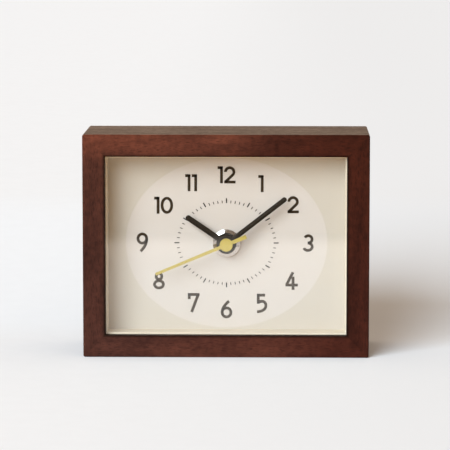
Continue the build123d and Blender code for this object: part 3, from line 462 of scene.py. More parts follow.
def uneven_stain(name):
    """A tint for the case, paler to the left and in patches, with painted shade along the window."""
    tints = {
        "Left Tint": (0.65, 0.73, 0.82, 1.0),
        "Right Tint": (0.49, 0.37, 0.335, 1.0),
        "Pale Tint": (1.28, 1.28, 1.26, 1.0),
        "Edge Tint": (0.36, 0.40, 0.34, 1.0),
    }
    net, given, made = shader_group(name, tints, "Tint", kind="Color")
    parts = net.split(given["Vector"])
    rightward = net.ramp(parts["X"], 0.0, 1.0, CAD_LOW.x, CAD_HIGH.x)
    tint = net.blend(rightward, given["Left Tint"], given["Right Tint"])
    in_front = net.ramp(parts["Y"], 1.0, 0.0, *FRONT_FADE)
    for middle, inner, outer, edge, share in PALE_PATCHES:
        across = net.ramp(net.away(parts["X"], middle), share, 0.0, inner, outer)
        pale = net.times(across, net.ramp(net.away(parts["Z"], edge), 1.0, 0.0, *PATCH_FADE))
        tint = net.blend(net.times(pale, in_front), tint, given["Pale Tint"])
    reaches = []
    for axis, low, high in (("X", WINDOW_LEFT, WINDOW_RIGHT), ("Z", WINDOW_LOW, WINDOW_HIGH)):
        from_middle = net.away(parts[axis], (low + high) / 2)
        reaches.append(net.math("SUBTRACT", from_middle, (high - low) / 2))
    # Painted shade: the wood is painted darker in a thin line along the edge of the window
    dark = net.ramp(net.math("MAXIMUM", *reaches), 1.0, 0.0, *PAINTED_EDGE_SHADE)
    net.feed(made, {"Tint": net.blend(dark, tint, given["Edge Tint"], "MULTIPLY")})
    return net.tree


def wooden(name, light, dark, low, high, gloss, turn=LEVEL, pore_tone=0.55, stained=False):
    """Wood whose grain runs along x before the turn, bare or with the case's tint and painted shade."""
    net = Finish(name)
    place = net.place()
    wood = net.group(wood_figure, net.mapped(place, turn=turn))
    tone = net.blend(wood["Figure"], dark, light)
    tone = net.blend(net.times(wood["Pores"], 0.6), tone, darker(dark, pore_tone))
    # The case's tint holds painted shade along the window
    if stained:
        tone = net.blend(1.0, tone, net.group(uneven_stain, place)["Tint"], "MULTIPLY")
    rough = net.ramp(wood["Figure"], high, low)
    return net.look(tone, rough, wood["Height"], 0.01 * MM, gloss=gloss)


def shape_group(name, inputs):
    """A Geometry Nodes tree that takes a shape, sizes and a material and gives a shape."""
    sockets = {"Geometry": "Geometry", **inputs, "Material": "Material"}
    return new_group(name, "GeometryNodeTree", sockets, {"Geometry": "Geometry"})


def end_shape(net, given, made, geometry):
    """Ends such a tree in real geometry with its material."""
    real = net.add("GeometryNodeRealizeInstances", {"Geometry": geometry}).outputs["Geometry"]
    dressed = net.add("GeometryNodeSetMaterial", {"Geometry": real, "Material": given["Material"]})
    net.feed(made, {"Geometry": dressed.outputs["Geometry"]})
    return net.tree


def grown(name, data, build, inputs, place):
    """Runs a tree on curve or mesh data and keeps the result as a plain mesh at its place."""
    source = bpy.data.objects.new(name + "_source", data)
    bpy.context.collection.objects.link(source)
    modifier = source.modifiers.new("nodes", "NODES")
    modifier.node_group = shared(build)
    items = modifier.node_group.interface.items_tree
    sockets = {item.name: item.identifier for item in items if item.in_out == "INPUT"}
    for socket, value in inputs.items():
        modifier[sockets[socket]] = value
    depsgraph = bpy.context.evaluated_depsgraph_get()
    mesh = bpy.data.meshes.new_from_object(source.evaluated_get(depsgraph), depsgraph=depsgraph)
    source.modifiers.remove(modifier)
    bpy.data.objects.remove(source)
    mesh.name = name
    mesh.transform(place)
    made = bpy.data.objects.new(name, mesh)
    bpy.context.collection.objects.link(made)
    return made


def facing_front(point):
    """Carries a drawing, x right and y up, to a point on a face that looks to the front."""
    return Matrix.Translation(point) @ Matrix.Rotation(math.radians(90), 4, "X")


def facing_rear(point):
    """Carries a drawing, x right and y up, to a point on a face that looks to the rear."""
    turned = Matrix.Rotation(math.pi, 4, "Z") @ Matrix.Rotation(math.radians(90), 4, "X")
    return Matrix.Translation(point) @ turned


def line(x0, y0, x1, y1):
    """A straight stroke."""
    return [(x0, y0), (x1, y1)]


def arc(x, y, radius_x, radius_y, start, end, steps=40):
    """A stroke along an ellipse between two angles in degrees."""
    angles = [math.radians(start + (end - start) * n / steps) for n in range(steps + 1)]
    return [(x + radius_x * math.cos(a), y + radius_y * math.sin(a)) for a in angles]


def bend(start, first, second, end, steps=24):
    """A stroke along a cubic curve with two handles."""
    points = []
    for n in range(steps + 1):
        t = n / steps
        weights = ((1 - t) ** 3, 3 * t * (1 - t) ** 2, 3 * t * t * (1 - t), t**3)
        corners = (start, first, second, end)
        points.append(tuple(sum(w * c[i] for w, c in zip(weights, corners)) for i in (0, 1)))
    return points


def strokes_curve(name, strokes):
    """A curve with one poly spline for each stroke, closed where a stroke ends where it starts."""
    curve = bpy.data.curves.new(name, "CURVE")
    curve.dimensions = "3D"
    for stroke in strokes:
        closed = math.dist(stroke[0], stroke[-1]) < 1e-6
        points = stroke[:-1] if closed else stroke
        spline = curve.splines.new("POLY")
        spline.points.add(len(points) - 1)
        spline.use_cyclic_u = closed
        for point, (x, y) in zip(spline.points, points):
            point.co = (x, y, 0.0, 1.0)
    return curve


def stroked(name, strokes, width, thickness, material, place):
    """A piece of flat bars along strokes."""
    inputs = {"Width": width, "Thickness": thickness, "Material": material}
    return grown(name, strokes_curve(name, strokes), flat_strokes, inputs, place)


def flat_strokes(name):
    """A tree that lays a flat bar along every spline, its back on the drawing plane."""
    net, given, made = shape_group(name, {"Width": 0.001, "Thickness": 0.0001})
    level = net.add("GeometryNodeSetCurveNormal", {"Curve": given["Geometry"]}, mode="Z_UP")
    size = {"Width": given["Width"], "Height": given["Thickness"]}
    bar = net.add("GeometryNodeCurvePrimitiveQuadrilateral", size).outputs["Curve"]
    inputs = {"Curve": level.outputs["Curve"], "Profile Curve": bar, "Fill Caps": True}
    sweep = net.add("GeometryNodeCurveToMesh", inputs).outputs["Mesh"]
    lift = net.joined({"Z": net.times(given["Thickness"], 0.5)})
    lifted = net.add("GeometryNodeSetPosition", {"Geometry": sweep, "Offset": lift})
    return end_shape(net, given, made, lifted.outputs["Geometry"])


# The figures, in millimetres from the lower left corner of each, and their widths
FIGURE_HEIGHT = 6.87
FIGURE_SPACE = 0.55
FIGURES = {
    "0": (4.96, [arc(2.48, 3.43, 1.95, 2.88, 0, 360, 64)]),
    "1": (2.13, [line(0.0, 6.34, 2.1, 6.34), line(1.605, 0.0, 1.605, 6.87)]),
    "2": (4.6, [arc(2.24, 4.61, 1.71, 1.71, 180, -42) + [(0.45, 0.51)], line(0.0, 0.51, 4.6, 0.51)]),
    "3": (
        4.45,
        [
            arc(2.28, 5.04, 1.52, 1.48, 153, -90),
            arc(2.11, 2.03, 1.75, 1.51, 90, -159),
            line(2.01, 3.55, 2.6, 3.55),
        ],
    ),
    "4": (5.24, [line(3.25, 7.2, 0.62, 1.97), line(0.2, 1.97, 5.24, 1.97), line(3.29, 0.0, 3.29, 5.41)]),
    "5": (
        4.27,
        [
            line(0.1, 7.38, 3.41, 7.38),
            line(0.63, 3.9, 0.63, 7.9),
            bend((0.63, 4.2), (1.6, 5.3), (3.74, 5.1), (3.74, 3.05)),
            bend((3.74, 3.05), (3.74, 1.5), (2.1, 0.65), (0.15, 0.52)),
        ],
    ),
    "6": (
        4.6,
        [
            arc(2.3, 2.38, 1.77, 1.85, 0, 360, 64),
            bend((0.53, 2.38), (0.53, 4.2), (1.7, 5.6), (3.31, 7.05)),
        ],
    ),
    "7": (4.75, [line(0.0, 7.3, 4.72, 7.3), line(0.51, 5.41, 0.51, 7.8), line(4.14, 7.35, 1.52, 0.1)]),
    "8": (4.8, [arc(2.4, 1.97, 1.8, 1.46, 0, 360, 64), arc(2.42, 5.25, 1.14, 1.22, 0, 360, 48)]),
    "9": (
        4.55,
        [
            arc(2.25, 5.6, 1.75, 1.87, 0, 360, 64),
            bend((4.0, 5.6), (4.05, 4.2), (3.7, 2.5), (1.52, 0.4)),
        ],
    ),
}

# How far a number stands off its place on the oval, right and up, in millimetres
NUMERAL_NUDGES = {
    1: (-0.3, -0.4),
    2: (-0.25, -0.1),
    3: (-0.4, 0.0),
    4: (-0.8, 0.15),
    7: (0.85, 0.0),
    8: (-0.25, 0.15),
    9: (-0.75, 0.0),
    10: (-0.3, -0.45),
    11: (-0.2, -0.1),
    12: (0.0, 0.6),
}


def numeral_strokes(number):
    """The strokes of a number round its own middle, in millimetres."""
    strokes, x = [], 0.0
    for figure in str(number):
        width, drawn = FIGURES[figure]
        strokes += [[(px + x, py) for px, py in stroke] for stroke in drawn]
        x += width + FIGURE_SPACE
    xs = [px for stroke in strokes for px, _ in stroke]
    ys = [py for stroke in strokes for _, py in stroke]
    middle = ((min(xs) + max(xs)) / 2, (min(ys) + max(ys)) / 2)
    return [[(px - middle[0], py - middle[1]) for px, py in stroke] for stroke in strokes]


def oval_reach(half_width, half_height, angle):
    """The distance from the middle of an oval to its edge, at a clockwise angle from twelve."""
    across, upward = half_height * math.sin(angle), half_width * math.cos(angle)
    return half_width * half_height / math.hypot(across, upward)


def half_span(number):
    """Half the width of a number, in millimetres."""
    return max(px for stroke in numeral_strokes(number) for px, _ in stroke)


def dial_numbers(dial):
    """The strokes of all twelve numbers. The wide ten lines up with the eight on its outer side."""
    scale = dial.numeral_height / FIGURE_HEIGHT
    moved_in = {10: (half_span(10) - half_span(8)) * scale}
    strokes = []
    for hour in range(1, 13):
        angle = 2 * math.pi * hour / 12
        reach = oval_reach(dial.numeral_half_width, dial.numeral_half_height, angle)
        across, up = NUMERAL_NUDGES.get(hour, (0.0, 0.0))
        x = reach * math.sin(angle) + moved_in.get(hour, 0.0) + across * MM
        y = reach * math.cos(angle) + up * MM
        for stroke in numeral_strokes(hour):
            strokes.append([(px * scale + x, py * scale + y) for px, py in stroke])
    return strokes


def stroke_ring(name):
    """A tree that sets radial strokes round an oval, leaving out every one that a step names."""
    counts = {"Count": 60, "Left Out": 0}
    oval = {"Half Width": 0.02, "Half Height": 0.016}
    bar = {"Length": 0.001, "Width": 0.0003, "Thickness": 0.0001}
    net, given, made = shape_group(name, {**counts, **oval, **bar})
    index = net.add("GeometryNodeInputIndex").outputs["Index"]
    turn = net.math("DIVIDE", net.times(index, 2 * math.pi), given["Count"])
    sine = net.math("SINE", turn)
    cosine = net.math("COSINE", turn)
    squares = net.squares(net.times(given["Half Height"], sine), net.times(given["Half Width"], cosine))
    area = net.times(given["Half Width"], given["Half Height"])
    inner = net.math("DIVIDE", area, net.math("SQRT", squares))
    reach = net.math("MULTIPLY_ADD", given["Length"], 0.5, inner)
    lift = net.times(given["Thickness"], 0.5)
    middle = net.joined({"X": net.times(reach, sine), "Y": net.times(reach, cosine), "Z": lift})
    points = net.add("GeometryNodePoints", {"Count": given["Count"], "Position": middle})
    size = net.joined({"X": given["Width"], "Y": given["Length"], "Z": given["Thickness"]})
    kept = net.math("MODULO", index, net.math("MAXIMUM", given["Left Out"], 1.0))
    unskipped = net.math("LESS_THAN", given["Left Out"], 0.5)
    spin = {"Euler": net.joined({"Z": net.times(turn, -1.0)})}
    inputs = {
        "Points": points.outputs["Geometry"],
        "Selection": net.math("GREATER_THAN", net.math("ADD", kept, unskipped), 0.5),
        "Instance": net.add("GeometryNodeMeshCube", {"Size": size}).outputs["Mesh"],
        "Rotation": net.add("FunctionNodeEulerToRotation", spin).outputs["Rotation"],
    }
    set_out = net.add("GeometryNodeInstanceOnPoints", inputs)
    return end_shape(net, given, made, set_out.outputs["Instances"])


def four_corners(name):
    """A tree that sets a shape at the four corners of an upright oblong."""
    net, given, made = shape_group(name, {"Across": 0.08, "Up": 0.08})
    size = {"Size X": given["Across"], "Size Y": given["Up"], "Vertices X": 2, "Vertices Y": 2}
    grid = net.add("GeometryNodeMeshGrid", size).outputs["Mesh"]
    set_out = net.add("GeometryNodeInstanceOnPoints", {"Points": grid, "Instance": given["Geometry"]})
    return end_shape(net, given, made, set_out.outputs["Instances"])


def dress(nodes, material):
    """Gives carried-over CAD nodes their finish."""
    for name in nodes:
        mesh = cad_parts[name].data
        mesh.materials.clear()
        mesh.materials.append(material)


class DESKCLOCK_OT_case(bpy.types.Operator):
    """Finish the four stained boards, the glue blocks and the back panel"""

    bl_idname = "desk_clock.case"
    bl_label = "Case boards"

    def execute(self, context):
        looks = settings(context, "case")
        gloss = looks.wood_gloss
        low, high = looks.wood_roughness - 0.05, looks.wood_roughness + 0.08
        boards = [
            ("case_top", 1.0, LEVEL),
            ("case_bottom", 1.10, LEVEL),
            ("case_left", 0.97, UPRIGHT),
            ("case_right", 0.95, UPRIGHT),
        ]
        for board, share, turn in boards:
            light, dark = darker(looks.wood_light, share), darker(looks.wood_dark, share)
            dress([board], wooden("stained_" + board, light, dark, low, high, gloss, turn, stained=True))
        light, dark = looks.block_colour, darker(looks.block_colour, 0.75)
        dress(["glue_blocks"], wooden("sawn_wood", light, dark, 0.7, 0.85, gloss, pore_tone=0.8))
        dress(["back_panel"], self.hardboard(looks.panel_colour))
        return {"FINISHED"}

    def hardboard(self, colour):
        """Pressed board with short dark and pale fibres."""
        net = Finish("hardboard")
        place = net.place()
        fibres = net.noise(net.mapped(place, (1.0, 1.0, 2.5)), 900.0, 4.0, 0.65)
        mixed = net.math("MULTIPLY_ADD", net.noise(place, 60.0), 0.35, net.times(fibres, 0.65))
        share = net.ramp(mixed, 0.0, 1.0, 0.35, 0.65)
        tone = net.blend(share, darker(colour, 0.55), darker(colour, 1.35))
        return net.look(tone, net.ramp(fibres, 0.55, 0.75, *NOISE_MOST), fibres, 0.015 * MM)


class DESKCLOCK_OT_glass(bpy.types.Operator):
    """Finish the front pane"""

    bl_idname = "desk_clock.glass"
    bl_label = "Front glass"

    def execute(self, context):
        looks = settings(context, "case")
        net = Finish("pane_glass")
        pane = {"Base Color": looks.glass_colour, "Roughness": 0.0, "IOR": looks.glass_index}
        net.feed(net.principled, {**pane, "Transmission Weight": 1.0})
        clear = net.add("ShaderNodeBsdfTransparent", {"Color": looks.glass_shade}).outputs["BSDF"]
        rays = net.rays()
        through = [(rays[ray], clear) for ray in ("Is Diffuse Ray", "Is Shadow Ray")]
        net.surface(net.principled.outputs["BSDF"], through)
        dress(["front_glass"], net.material)
        return {"FINISHED"}


class DESKCLOCK_OT_dial(bpy.types.Operator):
    """Finish the dial with its pale oval, and the surround"""

    bl_idname = "desk_clock.dial"
    bl_label = "Dial and surround"

    def execute(self, context):
        dial = settings(context, "dial")
        dress(["dial_plate"], self.printed_card(dial))
        dress(["dial_surround"], grained("cream_surround", dial.surround_colour, 0.5, 0.62, contrast=0.95))
        return {"FINISHED"}

    def printed_card(self, dial):
        """Ivory card with a paler oval round the shaft."""
        net = Finish("printed_dial")
        place = net.place()
        parts = net.split(place)
        across = net.math("DIVIDE", net.math("SUBTRACT", parts["X"], SHAFT.x), dial.oval_half_width)
        upward = net.math("DIVIDE", net.math("SUBTRACT", parts["Z"], SHAFT.z), dial.oval_half_height)
        edge = dial.oval_edge / dial.oval_half_height
        inside = net.ramp(net.math("SQRT", net.squares(across, upward)), 1.0, 0.0, 1.0 - edge, 1.0 + edge)
        printed = net.blend(inside, dial.ground_colour, dial.oval_colour)
        grain = net.group(fine_grain, place, {"Scale": 1800.0})
        tone = net.blend(net.times(grain["Tone"], 0.04), printed, darker(dial.ground_colour, 0.8))
        return net.look(tone, net.ramp(grain["Tone"], 0.52, 0.6), grain["Height"], 0.004 * MM)


class DESKCLOCK_OT_numerals(bpy.types.Operator):
    """Print the twelve numerals"""

    bl_idname = "desk_clock.numerals"
    bl_label = "Numerals"

    def execute(self, context):
        dial = settings(context, "dial")
        ink = grained("numeral_ink", dial.ink_colour, 0.6, 0.7, contrast=0.9, gloss=0.05)
        place = facing_front((SHAFT.x, DIAL_FACE, SHAFT.z))
        width, thickness = dial.numeral_weight, dial.ink_thickness
        numerals = stroked("dial_numerals", dial_numbers(dial), width, thickness, ink, place)
        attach(numerals, "case")
        return {"FINISHED"}


class DESKCLOCK_OT_strokes(bpy.types.Operator):
    """Print the ring of hour and minute strokes"""

    bl_idname = "desk_clock.strokes"
    bl_label = "Ring of strokes"

    def execute(self, context):
        dial = settings(context, "dial")
        ink = grained("stroke_ink", dial.stroke_colour, 0.6, 0.7, contrast=0.9, gloss=0.2)
        place = facing_front((SHAFT.x, DIAL_FACE, SHAFT.z))
        hour = (dial.hour_stroke_length, dial.hour_stroke_width)
        minute = (dial.minute_stroke_length, dial.minute_stroke_width)
        rings = [
            ("dial_hour_strokes", 12, 0, *hour),
            ("dial_minute_strokes", dial.minutes, dial.minutes // 12, *minute),
        ]
        for name, count, left_out, length, width in rings:
            inputs = {
                "Count": count,
                "Left Out": left_out,
                "Half Width": dial.ring_half_width,
                "Half Height": dial.ring_half_height,
                "Length": length,
                "Width": width,
                "Thickness": dial.ink_thickness,
                "Material": ink,
            }
            ring = grown(name, bpy.data.meshes.new(name + "_start"), stroke_ring, inputs, place)
            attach(ring, "case")
        return {"FINISHED"}


class DESKCLOCK_OT_hands(bpy.types.Operator):
    """Finish the hands and the nut"""

    bl_idname = "desk_clock.hands"
    bl_label = "Hands and nut"

    def execute(self, context):
        looks = settings(context, "hands")
        black = grained("black_paint", looks.hand_colour, 0.5, 0.6, gloss=0.08)
        dress(["hour_hand", "minute_hand"], black)
        dress(["second_hand"], grained("yellow_paint", looks.second_colour, 0.42, 0.5, contrast=0.94))
        nickel = drawn_metal("polished_nickel", looks.nickel_colour, 0.06, 0.12, contrast=0.95)
        dress(["centre_nut"], nickel)
        return {"FINISHED"}


# Shares of a screw's head: its flat top and straight rim. Reach, half width, depth and floor of its cross
HEAD_FLAT, HEAD_RIM = 0.62, 0.25
CROSS_REACH, CROSS_HALF, CROSS_DEPTH, CROSS_FLOOR = 0.46, 0.10, 0.6, 0.7
HEAD_STEPS = 6


class DESKCLOCK_OT_screws(bpy.types.Operator):
    """Make the pan-head screws of the back panel"""

    bl_idname = "desk_clock.screws"
    bl_label = "Back panel screws"

    def execute(self, context):
        looks = settings(context, "case")
        steel = drawn_metal("plated_steel", looks.steel_colour, 0.22, 0.36)
        dress(["back_panel_screws", "contact_plus", "contact_minus"], steel)
        head = looks.screw_head_radius
        height, length = SCREWS_HIGH.y - PANEL_FACE, PANEL_FACE - SCREWS_LOW.y
        mesh = self.screw(head, height, looks.screw_shank_radius, length)
        middle = (SCREWS_LOW + SCREWS_HIGH) / 2
        inputs = {
            "Across": SCREWS_HIGH.x - SCREWS_LOW.x - 2 * head,
            "Up": SCREWS_HIGH.z - SCREWS_LOW.z - 2 * head,
            "Material": steel,
        }
        place = facing_rear((middle.x, PANEL_FACE, middle.z))
        screws = grown("pan_head_screws", mesh, four_corners, inputs, place)
        screws.data.set_sharp_from_angle(angle=math.radians(40))
        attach(screws, "case")
        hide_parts("back_panel_screws")
        return {"FINISHED"}

    def screw(self, head, height, shank, length):
        """A screw along z with a rounded head, a cross recess and a pointed shank."""
        profile = [(shank, -length + 2 * shank), (shank, 0.0), (head, 0.0), (head, HEAD_RIM * height)]
        for n in range(1, HEAD_STEPS + 1):
            turn = math.radians(90) * n / HEAD_STEPS
            radius = head * (1 - (1 - HEAD_FLAT) * (1 - math.cos(turn)))
            profile.append((radius, height * (HEAD_RIM + (1 - HEAD_RIM) * math.sin(turn))))
        shape = bmesh.new()
        rings = [self.ring(shape, radius, z) for radius, z in profile]
        tip = shape.verts.new((0.0, 0.0, -length))
        for first, second in zip(rings, rings[1:]):
            self.wall(shape, first, second)
        for n in range(len(rings[0])):
            shape.faces.new((rings[0][n], rings[0][n - 1], tip))
        self.recess(shape, rings[-1], CROSS_REACH * head, CROSS_HALF * head, height, CROSS_DEPTH * height)
        bmesh.ops.recalc_face_normals(shape, faces=shape.faces)
        mesh = bpy.data.meshes.new("screw")
        shape.to_mesh(mesh)
        shape.free()
        mesh.shade_smooth()
        return mesh

    def ring(self, shape, radius, z, count=32):
        """A round ring of points."""
        angles = [2 * math.pi * n / count for n in range(count)]
        return [shape.verts.new((radius * math.cos(a), radius * math.sin(a), z)) for a in angles]

    def wall(self, shape, first, second):
        """Faces between two loops of points."""
        for n in range(len(first)):
            shape.faces.new((first[n - 1], first[n], second[n], second[n - 1]))

    def recess(self, shape, rim, reach, half, top, depth):
        """Closes a round rim with a face that has a cross sunk into it."""
        arm = [(reach, -half), (reach, half), (half, half)]
        quarter_turns = [(1, 0), (0, 1), (-1, 0), (0, -1)]
        cross = [(x * c - y * s, x * s + y * c) for c, s in quarter_turns for x, y in arm]
        upper = [shape.verts.new((x, y, top)) for x, y in cross]
        lower = [shape.verts.new((CROSS_FLOOR * x, CROSS_FLOOR * y, top - depth)) for x, y in cross]
        shape.faces.new(lower)
        self.wall(shape, upper, lower)
        pairs = [(loop[n - 1], loop[n]) for loop in (rim, upper) for n in range(len(loop))]
        edges = [shape.edges.get(pair) for pair in pairs]
        bmesh.ops.triangle_fill(shape, use_beauty=True, edges=edges, normal=(0.0, 0.0, 1.0))


class DESKCLOCK_OT_bead(bpy.types.Operator):
    """Lay a dark strip of painted shade round the window, on the front of the glass"""

    bl_idname = "desk_clock.bead"
    bl_label = "Painted shade line"

    def execute(self, context):
        looks = settings(context, "case")
        half = looks.bead_width / 2
        left, right = WINDOW_LEFT + half, WINDOW_RIGHT - half
        low, high = WINDOW_LOW + half, WINDOW_HIGH - half
        round_window = [(left, low), (right, low), (right, high), (left, high), (left, low)]
        # Painted shade: a dark strip along the window's edge on the front of the glass
        shade_paint = grained(
            "glazing_putty", looks.bead_colour, 0.7, 0.85, scale=1500.0, depth=0.01 * MM, gloss=0.05
        )
        mitred = looks.bead_width * math.sqrt(2)
        place = facing_front((0.0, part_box("front_glass")[0].y, 0.0))
        shade_line = stroked("shade_line_strip", [round_window], mitred, looks.bead_width, shade_paint, place)
        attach(shade_line, "case")
        return {"FINISHED"}


class DESKCLOCK_OT_movement(bpy.types.Operator):
    """Finish the movement: housing, wheels, motor, circuit board and washer"""

    bl_idname = "desk_clock.movement"
    bl_label = "Movement"

    def execute(self, context):
        looks = settings(context, "movement")
        black = grained("moulded_black", looks.housing_colour, 0.42, 0.56, scale=1600.0, depth=0.012 * MM)
        dress(["movement_base", "movement_cover", "set_knob"], black)
        white = grained("moulded_white", looks.wheel_colour, 0.3, 0.4, contrast=0.94)
        dress(["hour_wheel", "minute_wheel", "third_wheel", "intermediate_wheel"], white)
        dress(["coil_bobbin"], grained("moulded_bobbin", looks.bobbin_colour, 0.4, 0.5, contrast=0.92))
        brass = drawn_metal("turned_brass", looks.brass_colour, 0.16, 0.28, turn=LENGTHWISE)
        dress(["cannon_pinion", "centre_wheel", "second_wheel", "rotor_pinion"], brass)
        dress(["stator_plate", "coil_core"], drawn_metal("stamped_iron", looks.iron_colour, 0.3, 0.45))
        dress(["quartz_crystal"], drawn_metal("drawn_can", looks.iron_colour, 0.18, 0.3, contrast=0.9))
        dress(["rotor_magnet"], grained("sintered_magnet", looks.magnet_colour, 0.5, 0.7, scale=1200.0))
        dress(["mounting_washer"], grained("black_rubber", looks.rubber_colour, 0.75, 0.9, scale=1200.0))
        dress(["chip"], grained("cast_resin", looks.resin_colour, 0.3, 0.45))
        dress(["circuit_board"], self.lacquered_board(looks.board_colour))
        dress(["coil_winding"], self.wound_wire(looks.copper_colour))
        return {"FINISHED"}

    def lacquered_board(self, colour):
        """Green lacquer over copper tracks that show as paler lines."""
        net = Finish("lacquered_board")
        tracks = net.ramp(net.waves(net.place(), "Z", 220.0, 3.0), 0.0, 1.0, 0.55, 0.7)
        tone = net.blend(tracks, darker(colour, 0.6), darker(colour, 1.5))
        return net.look(tone, net.ramp(tracks, 0.3, 0.22), tracks, 0.02 * MM)

    def wound_wire(self, colour):
        """Fine wire side by side along the bobbin."""
        net = Finish("wound_wire")
        turns = net.waves(net.place(), "X", 2000.0, 0.6)
        tone = net.blend(turns, darker(colour, 0.35), colour)
        return net.look(tone, net.ramp(turns, 0.5, 0.3), turns, 0.05 * MM, metallic=0.8)


class DESKCLOCK_OT_signs(bpy.types.Operator):
    """Raise the setting arrow and the signs of the battery's ends on the cover"""

    bl_idname = "desk_clock.signs"
    bl_label = "Moulded signs"

    def execute(self, context):
        looks = settings(context, "movement")
        paler = darker(looks.housing_colour, 3.0)
        raised = grained("raised_black", paler, 0.35, 0.45, scale=1600.0, depth=0.01 * MM)
        place = facing_rear((KNOB_AXIS.x, COVER_HIGH.y, KNOB_AXIS.z))
        strokes = self.arrow() + self.ends()
        signs = stroked("cover_signs", strokes, looks.sign_weight, looks.sign_height, raised, place)
        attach(signs, "case")
        return {"FINISHED"}

    def arrow(self):
        """An arc over the knob with a head at its end."""
        gap = barb = 1.6 * MM
        start, end, spread = 155.0, 25.0, 35.0
        radius = (KNOB_HIGH.z - KNOB_LOW.z) / 2 + gap
        bow = arc(0.0, 0.0, radius, radius, start, end)
        x, y = bow[-1]
        back = math.radians(end + 90)
        sides = [back - math.radians(spread), back + math.radians(spread)]
        return [bow, *(line(x, y, x + barb * math.cos(a), y + barb * math.sin(a)) for a in sides)]

    def ends(self):
        """A plus and a minus next to the ends of the cell, as seen from the rear."""
        arm, inset = 1.3 * MM, 4 * MM
        up = COVER_LOW.z + 3.2 * MM - KNOB_AXIS.z
        plus = KNOB_AXIS.x - (CELL_HIGH.x - inset)
        minus = KNOB_AXIS.x - (CELL_LOW.x + inset)
        return [
            line(plus - arm, up, plus + arm, up),
            line(plus, up - arm, plus, up + arm),
            line(minus - arm, up, minus + arm, up),
        ]


# Where the cell's band and its plus cap start, and where its minus cap ends, in shares of its length
CELL_BAND = (0.765, 0.77)
CELL_PLUS = (0.955, 0.96)
CELL_MINUS = 0.012


class DESKCLOCK_OT_cell(bpy.types.Operator):
    """Finish the battery with its plain sleeve and pale band"""

    bl_idname = "desk_clock.cell"
    bl_label = "Battery"

    def execute(self, context):
        looks = settings(context, "movement")
        net = Finish("cell_sleeve")
        place = net.place()
        from_end = net.math("SUBTRACT", net.split(place)["X"], CELL_LOW.x)
        along = net.math("DIVIDE", from_end, CELL_HIGH.x - CELL_LOW.x)
        banded = net.ramp(along, 0.0, 1.0, *CELL_BAND)
        bare = net.ramp(along, 0.0, 1.0, *CELL_PLUS)
        metal = net.math("MAXIMUM", bare, net.math("LESS_THAN", along, CELL_MINUS))
        sleeve = net.blend(banded, looks.cell_colour, looks.cell_band_colour)
        grain = net.group(fine_grain, place, {"Low Roughness": 0.26, "High Roughness": 0.36})
        tone = net.blend(metal, sleeve, looks.cell_cap_colour)
        shine = net.math("MAXIMUM", metal, net.times(banded, 0.6))
        dress(["battery"], net.look(tone, grain["Roughness"], grain["Height"], 0.004 * MM, shine))
        return {"FINISHED"}


# The floor: half its side, how far left and right its painted falloff of light reaches, and how dim it is
# painted. The steps of its rise, and the shares of the rise in which it gets steep and levels out
FLOOR_SIDE = 40.0
FLOOR_FALLOFF = 0.12
FLOOR_PAINTED_DIM = 0.93
RISE_STEPS = 40
RISE_IN, RISE_OUT = 1 / 8, 1 / 4
BLACK = (0.0, 0.0, 0.0)

# Between which directions the light in front gives way to that behind and to that overhead
SKY_BEHIND = (-0.2, 0.5)
SKY_ABOVE = (0.1, 1.0)


